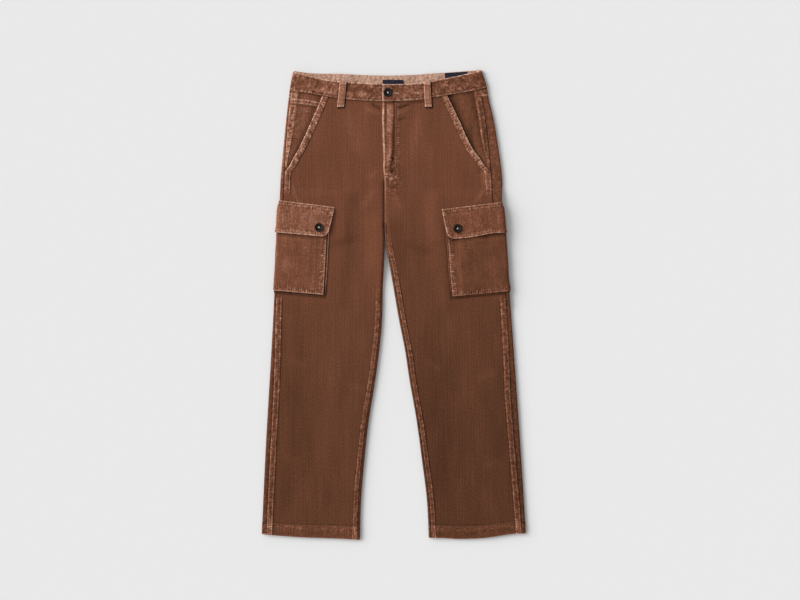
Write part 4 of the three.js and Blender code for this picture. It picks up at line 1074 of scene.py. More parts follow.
def cargo_pocket(leg):
    cargo = leg.cargo
    s = wrap_places(cargo["front"], cargo["back"], 2.4)[None, :]
    reach = np.abs(s)
    mouth = cargo["flap_top"] - 20 - cargo["flap_drop"] * reach
    bottom = cargo["bottom"] - cargo["drop"] * reach
    share = np.concatenate([[0, 0.002], np.linspace(0.01, 0.985, 70), [0.992, 0.998, 1]])[:, None]
    y = mouth + (bottom - mouth) * share
    edge = np.minimum(along(cargo["front"]) - s, s + along(cargo["back"]))
    low = y - bottom
    near = np.minimum(edge, low)
    band = ease(near, 10.5, 9) * (1 - 0.5 * bump(near, 7.5, 1.0)) * ease(near, -0.2, 1.2)
    fold = bump(s, along(cargo["front"] - 24), 2.0) * ease(y, bottom + 6, bottom + 30)
    swell = 1.3 * ease(edge, 8, 40) * ease(low, 8, 45) * (s > 0) * ease(s, 2, 30)
    run = np.where(edge < low, y, s)
    uneven = 0.6 * noise(s / 24, y / 30, 33 + (leg is LEFT)) + 0.3 * noise(s / 9, y / 13, 35)
    pucker = 0.4 * noise(run / 4.2, near / 9, 31 + (leg is LEFT)) * bump(near, 6, 4)
    relief = np.where(s > -2, 0.4 * band + pucker + 0.4 * fold + swell + uneven * ease(near, 4, 14), 0)
    outer = skin(leg, s, y, POCKET[1] + relief)
    inner = skin(leg, s, y, POCKET[0] + 0.6 * np.where(s > 0, swell, 0))
    marks = {
        "wear_and_painted_light": (0.12 if leg is RIGHT else 0.04 + 0.12 * ease(edge, 34, 4)) + 0.1 * band + (0.75 if leg is RIGHT else 0.5) * bump(near, 0.3, 1.1)
        + 0.12 * fold + 0.15 * uneven,
        "rope": 0.1 + 0.6 * ease(near, 12, 8) * ease(near, 0.5, 3),
        # painted shade: in the furrow inside the band, and the flap's painted shadow below its lower edge
        "deep": 0.25 * bump(near, 8.2, 1.2) + 0.7 * ease(cargo["flap_bottom"] - cargo["bottom_drop"] * reach - y, 11, 0),
        "pinch": 0.9 * bump(near, 6.8, 2.2) + 0.5 * bump(near, 2.5, 1.5),
        "course": (run, near),
    }
    uv = np.stack([s + 0 * y, y], -1)
    return shell(f"{leg.side}_cargo_pocket_cloth", outer, inner, uv, marks, CORDUROY)


def cargo_gusset(leg):
    """The folded strip that shows beside and below the pocket."""
    cargo = leg.cargo
    show, corner = (5.6 if leg is RIGHT else 3.6), 5.0
    low = lambda s: cargo["bottom"] - cargo["drop"] * np.abs(s)
    ends = {"front": along(cargo["front"]), "back": -along(cargo["back"])}
    heights = np.linspace(165, 48, 34)
    run = wrap_places(cargo["front"] - corner, cargo["back"] - corner, 3)

    def path(out):
        """One edge of the strip: down the front side, along the bottom, up the back side."""
        down = np.stack([np.full(len(heights), ends["front"] + out), heights], -1)
        along_bottom = np.stack([run, low(run) - out], -1)
        up = np.stack([np.full(len(heights), ends["back"] - out), heights[::-1]], -1)
        turn = np.radians(np.linspace(0, 90, 7)[1:-1])
        radius = corner + out
        start = np.stack([ends["front"] - corner + radius * np.cos(turn),
                          low(ends["front"]) + corner - radius * np.sin(turn)], -1)
        finish = np.stack([ends["back"] + corner - radius * np.cos(turn[::-1]),
                           low(ends["back"]) + corner - radius * np.sin(turn[::-1])], -1)
        return np.concatenate([down, start, along_bottom, finish, up])

    outs = np.array([show, show - 0.5, show - 1.2, show - 1.9, show - 3, 0, -3, -4.4])
    grid = np.stack([path(out) for out in outs], 1)
    crown = np.array([0.0, 0.35, 0.45, 0.4, 0.2, 0, 0, 0])[None, :]
    s, y = grid[..., 0], grid[..., 1]
    beside = ease(y - low(s), 4, 14)
    outer = skin(leg, s, y, GUSSET[1] + crown * beside * (s > -3))
    inner = skin(leg, s, y, GUSSET[0] + 0 * s)
    ridge = np.array([0.4, 0.55, 0.5, 0.15, 0, 0, 0, 0])[None, :] * (1 if leg is RIGHT else 0.2)
    # painted shade: from the gusset's fold in towards the pocket's edge and under it, and along the bottom below the
    # pocket
    gap = np.array([0, 0, 0, 0.25, 0.5, 0.6, 1.0, 1.0])[None, :] * (1 if leg is RIGHT else 0.7)
    marks = {"wear_and_painted_light": ridge * beside, "rope": 0.3 + 0 * s, "deep": gap + 0.35 * (1 - beside)}
    return shell(f"{leg.side}_cargo_gusset_cloth", outer, inner, grid, marks, CORDUROY_TRIM)


def flap_low(leg, s):
    """Height of the flap's lower edge, which waves a little on the left leg."""
    reach = np.abs(s)
    wave = 2.2 * bump(reach, 25, 22) - 1.6 * bump(reach, 88, 24) if leg is LEFT else 0 * reach
    return leg.cargo["flap_bottom"] - leg.cargo["bottom_drop"] * reach + wave * (s > 0)


def cargo_flap(leg):
    cargo = leg.cargo
    corner, total = 15.0, cargo["flap_top"] - cargo["flap_bottom"]
    share = np.concatenate([[0, 0.006], np.linspace(0.03, 0.97, 34), [0.985, 0.994, 1]])[:, None]
    above = (1 - share) * total
    cut = np.clip(corner - above, 0, None)
    inset = corner - np.sqrt(corner**2 - cut**2)
    front = cargo["flap_front"] - cargo["flap_taper"] * share - inset
    back = cargo["flap_back"] - inset
    unit = wrap_places(100, 100, 2.3)[None, :]
    ahead = np.where(unit > QUARTER, (unit - QUARTER) / (along(100) - QUARTER), 0)
    behind = np.where(unit < -QUARTER, (-unit - QUARTER) / (along(100) - QUARTER), 0)
    s = np.clip(unit, -QUARTER, QUARTER) + ahead * (along(front) - QUARTER) - behind * (along(back) - QUARTER)
    top = cargo["flap_top"] - cargo["flap_drop"] * np.abs(s)
    bottom = flap_low(leg, s)
    y = top + (bottom - top) * share
    height = ease(share, 0.02, 0.22)
    low, high = FLAP[0] * height + GAP * (1 - height), 0
    edge = np.minimum(along(front) + inset * 0 - s, s + along(back))
    near = np.minimum(np.minimum(edge, (1 - share) * total), 99)
    from_top = share * total
    furrows = bump(near, 2.6, 0.8) + bump(near, 8.4, 0.8) + bump(from_top, 2.4, 0.8) + bump(from_top, 8.6, 0.8)
    nearest = np.minimum(near, from_top)
    run = np.where(edge < np.minimum((1 - share) * total, from_top), y, s)
    pucker = 0.4 * noise(run / 5, nearest / 9, 41 + (leg is LEFT)) * ease(nearest, 16, 5)
    uneven = 0.5 * noise(s / 19, y / 15, 43 + (leg is LEFT)) + 0.25 * noise(s / 8, y / 8, 45)
    curl = 1.7 * ease(near, 14, 1) * ease(share, 0.5, 0.85)
    swell = 0.6 * ease(near, 9, 26) * ease(from_top, 9, 26)
    rim = 0.5 * (1 - ease(near, 0, 1.6))
    relief = np.where(s > -2, pucker + uneven + curl + swell - 0.45 * furrows - rim, 0)
    thick = FLAP[1] - FLAP[0]
    outer = skin(leg, s, y, low + thick + relief)
    inner = skin(leg, s, y, low + np.where(s > 0, curl * 0.8, 0))
    marks = {
        "wear_and_painted_light": (0.2 if leg is RIGHT else 0.1) + 0.6 * bump(near, 0.4, 1.2) + 0.5 * bump(from_top, 0.6, 1.2) + 0.12 * ease(nearest, 11, 8)
        + 0.1 * uneven,
        "rope": 0.25 + 0.4 * ease(nearest, 14, 7),
        "pinch": 0.5 * (bump(nearest, 2.8, 1.5) + bump(nearest, 8.4, 1.5)),
        # painted shade in the furrows beside the rows of stitches
        "deep": 0.45 * (bump(from_top, 3.6, 1.1) + bump(from_top, 9.8, 1.1)) + 0.3 * bump(near, 9.8, 1.2),
        "course": (run, nearest + 0 * run),
    }
    uv = np.stack([s + 0 * y, y], -1)
    return shell(f"{leg.side}_cargo_flap_cloth", outer, inner, uv, marks, CORDUROY_TRIM)


pockets = {leg.side: cargo_pocket(leg) for leg in (RIGHT, LEFT)}
gussets = {leg.side: cargo_gusset(leg) for leg in (RIGHT, LEFT)}
flaps = {leg.side: cargo_flap(leg) for leg in (RIGHT, LEFT)}
print("pockets:", [len(piece.data.polygons) for piece in pockets.values()])

# %% [markdown]
# ## Waistband
# One strip of two plies runs from the underlap, round the right side, across the back and round
# the left side to the overlap. Its inside shows above the front edge, pale and twilled. Sewing a
# bias-cut band draws it into slanting ropes, so the relief is noise stretched along a slant.

# %% Waistband
OVERLAP_END, UNDERLAP_END = -25.6, 13.0


def band_top_z(x, y):
    leg_z = np.where(x < CENTRE_FRONT, top_z(RIGHT, x, y), top_z(LEFT, x, y))
    return leg_z + BAND_STEP


def band_front(x, share, sunk, off):
    y = front_seam(x) + (front_top(x) - front_seam(x)) * share
    return np.stack([x + 0 * y, y, band_top_z(x, y) - sunk + off], -1)


def band_back(x, share, off):
    y = back_seam(x) + (back_top(x) - back_seam(x)) * share
    return np.stack([x + 0 * y, y, loop_lift(x) - off + 0 * y], -1)


def band_fold(leg, angle, share, off):
    edge = leg.outer(482.0) + (leg.outer(526.0) - leg.outer(482.0)) * share
    turn = (TUBE + BAND_STEP) / 2
    x = edge + leg.inward * (turn - (turn + off) * np.cos(angle))
    ahead = front_seam(x) + (front_top(x) - front_seam(x)) * share
    behind = back_seam(x) + (back_top(x) - back_seam(x)) * share
    y = behind + (ahead - behind) * (1 + np.sin(angle)) / 2
    return np.stack([x, y, turn + (turn + off) * np.sin(angle) + 0 * x], -1)


def waistband():
    share = np.concatenate([[0, 0.012, 0.03], np.linspace(0.06, 0.94, 23), [0.97, 0.988, 1]])[None, :]
    right_x = spread(UNDERLAP_END, -221, 2.2)[:, None]
    back_x = np.linspace(-222, 193, 150)[:, None]
    left_x = spread(193, OVERLAP_END, 2.2)[:, None]
    turn = np.linspace(math.pi / 2, -math.pi / 2, 15)[1:-1, None]
    sunk = (BAND + GAP) * ease(right_x, -66, -27)
    soft = 0.8 * (1 - ease(share, 0, 0.03) * ease(share, 1, 0.97))
    furrow = 0.6 * (bump(share, 0.11, 0.02) + bump(share, 0.88, 0.02))
    place = share * 40

    def relief(x, seed):
        slant = x - 0.35 * place
        ropes = noise(slant / 6.5, place / 8 + 0.03 * x, seed) + 0.6 * noise(slant / 3.4, place / 6, seed + 1)
        waves = 0.5 * noise(x / 26, place / 17, seed + 5) + 0.4 * noise(x / 19, place / 6, seed + 6)
        return 0.38 * ropes + waves - furrow - soft

    def face(depth):
        inside = depth > 0
        off_right = -depth if inside else relief(right_x, 51)
        off_left = -depth if inside else relief(left_x, 53)
        off_turn = -depth if inside else -soft + 0 * turn
        return np.concatenate([
            band_front(right_x, share, sunk, off_right),
            band_fold(RIGHT, turn, share, off_turn),
            band_back(back_x, share, -depth if inside else 0.0),
            band_fold(LEFT, turn[::-1], share, off_turn),
            band_front(left_x, share, 0.0, off_left),
        ])

    outer, inner = face(0), face(BAND)
    step = np.linalg.norm(np.diff(outer, axis=0), axis=-1)
    travelled = np.concatenate([np.zeros((1, share.shape[1])), np.cumsum(step, 0)])
    uv = np.stack([share * 40 + 0 * travelled, travelled], -1)
    near = np.minimum(share, 1 - share)
    end = np.minimum(travelled[-1:] - travelled, 40)
    blotch = noise(travelled / 17, place / 11, 57)
    upper = outer[..., 2] > TUBE / 2
    shaded = painted_loop_shadow(outer[..., 0], outer[..., 1]) * upper
    marks = {
        "wear_and_painted_light": 0.1 + (0.3 - 0.2 * ease(outer[..., 0], -80, -120)) * bump(share, 0.015, 0.025) + 0.6 * bump(share, 0.985, 0.035) + 0.14 * ease(near, 0.12, 0.07)
        + 0.22 * blotch
        # painted highlight along the overlap's end, where the band's end face meets the light
        + 0.8 * bump(end, 1, 2.2) + 0.05 * ease(outer[..., 0], -60, -110) - 0.1 * ease(outer[..., 0], 40, 120),
        "rope": 0.58 + 0.3 * ease(near, 0.3, 0.12) + 0.14 * ease(outer[..., 0], 20, 70),
        # Painted shade: in the stitch furrows, softly across the band's upper middle, and the belt loops' painted
        # shadow.
        "deep": 0.4 * bump(near, 0.125, 0.02) + 0.14 * ease(share, 0.35, 0.6) * ease(share, 0.9, 0.8) + 1.1 * shaded,
        "pinch": 0.6 * bump(near, 0.09, 0.05) + 0 * travelled,
        "course": (travelled + 0.35 * place, place + 0 * travelled),
    }
    return shell("waistband_cloth", outer, inner, uv, marks, CORDUROY_TRIM, LINING)


band = waistband()
print("waistband:", len(band.data.polygons), "faces")

# %% [markdown]
# ## Belt loops
# A belt loop is a narrow folded strip with a row of stitches along each side. It bulges slightly,
# and its ends are turned under and tacked, so they stand up as small bars.

# %% Belt loops
def front_loop(leg, top_x, bottom_x):
    low, seam, high = front_seam(top_x) - LOOP_TAIL, front_seam(top_x), front_top(top_x)
    rows = spread(high + 1, low, 1.6)[:, None]
    side = np.array([-0.5, -0.47, -0.4, -0.3, -0.15, 0, 0.15, 0.3, 0.4, 0.47, 0.5])[None, :]
    centre = bottom_x + (top_x - bottom_x) * ramp(rows, low, high)
    x = centre + side * LOOP_WIDTH
    y = rows + 0 * x
    over_band = BAND_STEP * ease(rows, seam - 7, seam - 3)
    ends = np.maximum(ease(rows, high - 8.5, high - 7), ease(rows, low + 7.5, low + 6))
    crown = (0.5 + 0.7 * (1 - (2 * side) ** 2)) * (1 - ends)
    rim = 0.45 * (1 - ease(0.5 - np.abs(side), 0, 0.05))
    furrow = 0.3 * bump(np.abs(side), 0.36, 0.05)
    base = top_z(leg, x, y) + over_band + GAP
    wobble = 0.15 * noise(x / 5, y / 7, 61)
    outer = np.stack([x, y, base + 1.3 + 0.7 * ends + crown - rim - furrow + wobble], -1)
    inner = np.stack([x, y, base], -1)
    bar = np.maximum(bump(rows, high - 7.5, 1.4), bump(rows, low + 6.8, 1.4))
    marks = {
        "wear_and_painted_light": 0.36 + 0.32 * ease(np.abs(side), 0.38, 0.46) + 0.25 * ends + 0 * x,
        "rope": 0.35 + 0 * x,
        # painted shade at the tacked end bars and in the furrows by the stitches
        "deep": 0.5 * bar + 0.4 * bump(np.abs(side), 0.34, 0.04) + 0 * x,
    }
    return shell(f"belt_loop_front_{leg.side}_cloth", outer, inner, np.stack([x, y], -1), marks, CORDUROY_TRIM)


def back_loop(name, at):
    high, low = back_top(at) - 2, back_seam(at) - 8
    rows = spread(high, low, 3)[:, None]
    side = np.linspace(-0.5, 0.5, 9)[None, :]
    x, y = at + side * LOOP_WIDTH + 0 * rows, rows + 0 * side
    rim = 0.3 * ease(np.abs(side), 0.4, 0.5)
    outer = np.stack([x, y, 0 * x], -1)
    inner = np.stack([x, y, 1.2 - rim + 0 * x], -1)
    marks = {"wear_and_painted_light": 0.3 + 0 * x, "rope": 0.5 + 0 * x}
    return shell(f"belt_loop_back_{name}_cloth", outer, inner, np.stack([x, y], -1), marks, CORDUROY_TRIM)


front_loops = {leg.side: front_loop(leg, top, bottom) for leg, top, bottom in FRONT_LOOPS}
back_loops = {name: back_loop(name, at) for name, at, _, _ in BACK_LOOPS}

# %% [markdown]
# ## Fly shield and labels
# The shield closes the gap behind the fly. Both labels lie on the inside of the back band and are
# bare navy ribbon, woven fine, with a turned edge.


# %% Shield and labels
def fly_shield():
    rows = spread(455, 292, 6)[:, None]
    x = np.linspace(-42, 8, 14)[None, :] + 0 * rows
    y = np.where(x < CENTRE_FRONT, front_y(RIGHT, rows, x), front_y(LEFT, rows, x))
    top = np.where(x < CENTRE_FRONT, top_z(RIGHT, x, y), top_z(LEFT, x, y))
    outer, inner = np.stack([x, y, top - 2.0], -1), np.stack([x, y, top - 3.3], -1)
    # painted shade: the shield lies under the fly and is darkened all over
    return shell("fly_shield_cloth", outer, inner, np.stack([x, y], -1), {"deep": 0.8 + 0 * x}, CORDUROY)


def label(name, x0, x1, top, bottom, base):
    x = spread(x0, x1, 2.2)[:, None]
    share = np.concatenate([[0, 0.02], np.linspace(0.06, 0.94, 12), [0.98, 1]])[None, :]
    y = top(x) + (bottom(x) - top(x)) * share
    edge = np.minimum(np.minimum(x - x0, x1 - x), 3 + 0 * x)
    rim = 0.12 * (1 - ease(edge, 0, 1.2)) + 0 * share
    turned = 0.14 * ease(share, 0.2, 0.16)
    outer = np.stack([x + 0 * y, y, base + 0.5 - rim + turned], -1)
    inner = np.stack([x + 0 * y, y, base + 0 * y], -1)
    return shell(name, outer, inner, np.stack([x + 0 * y, y], -1), {}, LABEL)


def rounded_top(x):
    """Top of the centre label, with a round corner at its right end."""
    return 505.5 - 4 + np.sqrt(16 - np.clip(x - 18.4, 0, 4) ** 2)


shield = fly_shield()
labels = {
    "centre": label("centre_label_ribbon", -25.3, 22.4, rounded_top, lambda x: 479.0 + 0 * x, 4.0),
    "side": label("side_label_ribbon", 114.8, 164.8, lambda x: back_top(x) - 1, lambda x: back_top(x) - 27, 2.5),
}

# %% [markdown]
# ## Buttons
# A moulded four-hole button has a raised rim round a dished face. Its profile is spun, and the
# holes are cut with a boolean. The thread through them is two short bars, as a machine sews it.

# %% Buttons
BUTTON_PROFILE = [(0, 0), (0.78, 0), (0.93, 0.12), (1, 0.4), (1, 0.66), (0.96, 0.86), (0.88, 0.98), (0.8, 1),
                  (0.74, 0.94), (0.68, 0.74), (0.6, 0.62), (0.4, 0.56), (0.2, 0.54), (0, 0.54)]


def lathe(name, profile, radius, height, sides=48):
    mesh = bmesh.new()
    rings = []
    for r, z in profile:
        if r == 0:
            rings.append([mesh.verts.new((0, 0, z * height * MM))])
            continue
        turn = [2 * math.pi * i / sides for i in range(sides)]
        rings.append([mesh.verts.new((r * radius * MM * math.cos(a), r * radius * MM * math.sin(a), z * height * MM)) for a in turn])
    for low, high in zip(rings, rings[1:]):
        for i in range(sides):
            j = (i + 1) % sides
            if len(low) == 1:
                mesh.faces.new((low[0], high[j], high[i]))
            elif len(high) == 1:
                mesh.faces.new((low[i], low[j], high[0]))
            else:
                mesh.faces.new((low[i], low[j], high[j], high[i]))
    bmesh.ops.recalc_face_normals(mesh, faces=mesh.faces)
    data = bpy.data.meshes.new(name)
    mesh.to_mesh(data)
    mesh.free()
    piece = bpy.data.objects.new(name, data)
    bpy.context.scene.collection.objects.link(piece)
    return piece


def baked(piece):
    """Applies a piece's modifiers and returns it as a plain mesh."""
    depsgraph = bpy.context.evaluated_depsgraph_get()
    data = bpy.data.meshes.new_from_object(piece.evaluated_get(depsgraph))
    piece.modifiers.clear()
    piece.data = data
    return piece


def place(piece, x, y, z, spin=0.0):
    """Moves a piece's mesh, so that the object itself stays at the origin."""
    c, s = math.cos(spin), math.sin(spin)
    for vertex in piece.data.vertices:
        px, py, pz = vertex.co
        vertex.co = (px * c - py * s + x * MM, px * s + py * c + y * MM, pz + z * MM)
    return piece


def drop(piece):
    bpy.data.objects.remove(piece, do_unlink=True)


def button(name, x, y, z, radius, spin):
    body = lathe(name, BUTTON_PROFILE, radius, 3.0)
    drills = []
    for i in range(4):
        a = math.pi / 4 + i * math.pi / 2
        drill = lathe("drill", [(0, -0.5), (1, -0.5), (1, 2), (0, 2)], 0.9, 3.0, 14)
        place(drill, 1.9 * math.cos(a), 1.9 * math.sin(a), 0)
        drills.append(drill)
        cut = body.modifiers.new("hole", "BOOLEAN")
        cut.object, cut.operation, cut.solver = drill, "DIFFERENCE", "EXACT"
    baked(body)
    for drill in drills:
        drop(drill)
    body.data.materials.clear()
    body.data.materials.append(HORN)
    for polygon in body.data.polygons:
        polygon.use_smooth = True
    body.data.set_sharp_from_angle(angle=math.radians(40))
    return place(body, x, y, z, spin)


def thread_bars(name, x, y, z, spin):
    """Two bars of thread across the holes, each a bundle of flattened strands."""
    strands = []
    for sign in (-1, 1):
        for k in range(3):
            strand = lathe("strand", [(0, -1), (0.6, -0.92), (1, -0.6), (1, 0.6), (0.6, 0.92), (0, 1)], 0.3, 1.6, 8)
            for vertex in strand.data.vertices:
                px, py, pz = vertex.co
                lift_up = 0.45 * MM * math.cos(pz / (1.6 * MM) * 1.3)
                vertex.co = (pz, sign * 1.0 * MM + (k - 1) * 0.4 * MM + py, px + lift_up)
            strands.append(strand)
    mesh = bmesh.new()
    for strand in strands:
        mesh.from_mesh(strand.data)
        drop(strand)
    bmesh.ops.recalc_face_normals(mesh, faces=mesh.faces)
    data = bpy.data.meshes.new(name)
    mesh.to_mesh(data)
    mesh.free()
    data.materials.append(THREAD_PALE)
    piece = bpy.data.objects.new(name, data)
    bpy.context.scene.collection.objects.link(piece)
    return place(piece, x, y, z, spin)


BUTTONS = {
    "waist_button": (-13.2, 476.2, 10.0, 0.3),
    "right_flap_button": (-167.7, 173.4, 9.6, 0.9),
    "left_flap_button": (143.0, 170.9, 9.6, 2.2),
}
buttons, threads = {}, {}
for node, (x, y, radius, spin) in BUTTONS.items():
    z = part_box(node)[0][2] / MM
    buttons[node] = button(f"{node}_horn", x, y, z + 0.1, radius, spin)
    threads[node] = thread_bars(f"{node}_thread", x, y, z + 1.75, spin)
print("buttons:", len(buttons))

# %% [markdown]
# ## Stitches
# Seams are what make it read as sewn. Every row of stitches is a path on the cloth. Geometry Nodes
# turn each path into evenly spaced points and put a small bead of thread on each one, turned along
# the path. The instances are made real, because the exported model can't hold instances.

# %% Stitch tree
def stitch_tree():
    tree = bpy.data.node_groups.new("rows of stitches", "GeometryNodeTree")
    face = tree.interface
    face.new_socket("Geometry", in_out="INPUT", socket_type="NodeSocketGeometry")
    for name, value in (("Pitch", 3.4 * MM), ("Length", 1.25 * MM), ("Thickness", 0.42 * MM)):
        socket = face.new_socket(name, in_out="INPUT", socket_type="NodeSocketFloat")
        socket.default_value = value
    face.new_socket("Thread", in_out="INPUT", socket_type="NodeSocketMaterial")
    face.new_socket("Geometry", in_out="OUTPUT", socket_type="NodeSocketGeometry")
    given = tree.nodes.new("NodeGroupInput").outputs
    points = add_node(tree, "GeometryNodeCurveToPoints", {"mode": "LENGTH"}, Curve=given["Geometry"], Length=given["Pitch"])
    bead = add_node(tree, "GeometryNodeMeshIcoSphere", Radius=1.0, Subdivisions=1)
    size = add_node(tree, "ShaderNodeCombineXYZ", X=given["Length"], Y=given["Thickness"], Z=given["Thickness"])
    turn = add_node(tree, "FunctionNodeAlignRotationToVector", {"axis": "X"}, Vector=points.outputs["Tangent"])
    copies = add_node(tree, "GeometryNodeInstanceOnPoints", Points=points.outputs["Points"], Instance=bead.outputs["Mesh"],
                      Rotation=turn.outputs["Rotation"], Scale=size.outputs["Vector"])
    real = add_node(tree, "GeometryNodeRealizeInstances", Geometry=copies.outputs["Instances"])
    smooth_faces = add_node(tree, "GeometryNodeSetShadeSmooth", Geometry=real.outputs["Geometry"])
    painted = add_node(tree, "GeometryNodeSetMaterial", Geometry=smooth_faces.outputs["Geometry"], Material=given["Thread"])
    out = tree.nodes.new("NodeGroupOutput")
    tree.links.new(painted.outputs["Geometry"], out.inputs["Geometry"])
    return tree


STITCH_TREE = stitch_tree()


def sew(name, paths, material, pitch=3.4, length=1.25, thickness=0.42):
    """One mesh of stitches along paths, each an array of points in millimetres."""
    curve = bpy.data.curves.new(name, "CURVE")
    curve.dimensions = "3D"
    for path in paths:
        spline = curve.splines.new("POLY")
        spline.points.add(len(path) - 1)
        flat = np.concatenate([path * MM, np.ones((len(path), 1))], 1)
        spline.points.foreach_set("co", flat.ravel())
    carrier = bpy.data.objects.new(name + "_path", curve)
    bpy.context.scene.collection.objects.link(carrier)
    sewing = carrier.modifiers.new("stitches", "NODES")
    sewing.node_group = STITCH_TREE
    sockets = {item.name: item.identifier for item in STITCH_TREE.interface.items_tree if item.in_out == "INPUT"}
    for socket, value in (("Pitch", pitch * MM), ("Length", length * MM), ("Thickness", thickness * MM)):
        sewing[sockets[socket]] = value
    sewing[sockets["Thread"]] = material
    depsgraph = bpy.context.evaluated_depsgraph_get()
    data = bpy.data.meshes.new_from_object(carrier.evaluated_get(depsgraph))
    data.name = name
    drop(carrier)
    piece = bpy.data.objects.new(name, data)
    bpy.context.scene.collection.objects.link(piece)
    return piece


# %% [markdown]
# The rows follow the same functions as the cloth: a line is a reach from the leg's edge at each
# height, and it lies just above the felled band.

# %% Where the rows of stitches run
def on_leg(leg, reach, y, up):
    x = leg.outer(y) + leg.inward * reach
    return np.stack([x, y, top_z(leg, x, y) + up], -1)


def row_y(start, stop):
    return np.linspace(start, stop, max(int(abs(stop - start) / 4), 2))


def leg_rows(leg):
    rows = []
    lower, upper = row_y(8, -488), row_y(292, 248)
    for share in (0.2, 0.82):
        for y in (lower, upper):
            rows.append(on_leg(leg, leg.side_seam(y) + 12 * share, y, 0.62))
        y = row_y(-5 if leg is RIGHT else 125, -488)
        rows.append(on_leg(leg, inner_seam(leg, y) - 9 * share, y, 0.62))
    y = row_y(452, SLANT_LOW)
    for share in (0.22, 0.8):
        rows.append(on_leg(leg, front_edge(leg, y) + 14 * share, y, 0.7))
    for share in (0.22, 0.85):
        y = row_y(466, 335)
        ridge = np.minimum(12, (front_edge(leg, y) - leg.side_seam(y)) * 0.25)
        rows.append(on_leg(leg, leg.side_seam(y) + ridge * share, y, 0.62))
    x = np.linspace(leg.outer(HEM) + leg.inward * 8, leg.low_inner(HEM) - leg.inward * 5, 50)
    y = leg.hem(x) + 26.5
    rows.append(np.stack([x, y, top_z(leg, x, y) + 0.75], -1))
    return rows


def centre_rows():
    """The J-shaped row of the fly, its edge row and the rise seam."""
    rows = []
    y = row_y(452, 308)
    straight = np.stack([8.4 + 0 * y, y], -1)
    turn = np.radians(np.linspace(0, 78, 14))
    hook = np.stack([8.4 - 26 * (1 - np.cos(turn)), 308 - 22 * np.sin(turn)], -1)
    j = np.concatenate([straight, hook[1:]])
    for shift in (0.0, -4.4):
        path = j + np.array([shift, 0.0])
        rows.append(np.column_stack([path, top_z(LEFT, path[:, 0], path[:, 1]) + 0.2 + (0.4 if shift else 0)]))
    y = row_y(452, 192)
    rows.append(np.column_stack([fly_edge(y) + 2.2, y, top_z(LEFT, fly_edge(y) + 2.2, y) + 0.65]))
    y = row_y(276, 192)
    rows.append(np.column_stack([np.full(len(y), CENTRE_FRONT - 2.4), y, top_z(RIGHT, CENTRE_FRONT - 2.4, y) + 0.65]))
    return rows


def cargo_rows(leg):
    cargo = leg.cargo
    rows = []
    bottom = lambda s: cargo["bottom"] - cargo["drop"] * np.abs(s)
    y = row_y(150, bottom(along(cargo["front"])) + 8)
    s = np.linspace(along(cargo["front"]) - 8, -along(cargo["back"]) + 8, 60)
    rows.append(skin(leg, along(cargo["front"]) - 8, y, POCKET[1] + 0.55))
    rows.append(skin(leg, s[s > 0], bottom(s[s > 0]) + 8, POCKET[1] + 0.55))
    total = cargo["flap_top"] - cargo["flap_bottom"]
    s = np.linspace(along(cargo["flap_front"]) - 6, 1, 50)
    for down in (2.2, 8.6):
        share = down / total
        height = ease(share, 0.02, 0.22)
        off = FLAP[1] * height + (GAP + 2) * (1 - height)
        rows.append(skin(leg, s, cargo["flap_top"] - cargo["flap_drop"] * s - down, off + 0.05))
    s = np.linspace(along(cargo["flap_front"] - cargo["flap_taper"]) - 15, 1, 50)
    for up in (2.4, 8.6):
        rows.append(skin(leg, s, flap_low(leg, s) + up, FLAP[1] + 0.25))
    share = np.linspace(0.2, 0.78, 20)
    for inward in (2.4, 8.6):
        front = along(cargo["flap_front"] - cargo["flap_taper"] * share) - inward
        top = cargo["flap_top"] - cargo["flap_drop"] * front
        low = flap_low(leg, front)
        rows.append(skin(leg, front, top + (low - top) * share, FLAP[1] + 0.2))
    return rows


def band_rows():
    rows = []
    for share in (0.07, 0.93):
        for x in (np.linspace(-221, -28, 90), np.linspace(-20, 193, 100)):
            sunk = (BAND + GAP) * ease(x, -66, -27) * (x < CENTRE_FRONT)
            rows.append(band_front(x[:, None], np.array([[share]]), sunk[:, None], 0.15)[:, 0])
    y = row_y(459, 493)
    rows.append(np.column_stack([np.full(len(y), OVERLAP_END + 2.2), y, band_top_z(OVERLAP_END + 2.2, y) + 0.1]))
    return rows


def loop_rows():
    rows = []
    for leg, top_x, bottom_x in FRONT_LOOPS:
        low, seam, high = front_seam(top_x) - LOOP_TAIL, front_seam(top_x), front_top(top_x)
        y = row_y(high - 1, low + 1)
        for side in (-0.36, 0.36):
            x = bottom_x + (top_x - bottom_x) * ramp(y, low, high) + side * LOOP_WIDTH
            z = top_z(leg, x, y) + BAND_STEP * ease(y, seam - 7, seam - 3) + GAP + 1.45
            rows.append(np.column_stack([x, y, z]))
    return rows


def tack(x0, y0, x1, y1, z, width):
    """A bar tack: close zigzag strands across a short line."""
    length = math.hypot(x1 - x0, y1 - y0)
    count = max(int(length / 0.75), 3)
    nx, ny = -(y1 - y0) / length, (x1 - x0) / length
    t = np.linspace(0, 1, count)
    side = np.where(np.arange(count) % 2, 0.5, -0.5) * width
    return np.column_stack([x0 + (x1 - x0) * t + nx * side, y0 + (y1 - y0) * t + ny * side, np.full(count, z)])


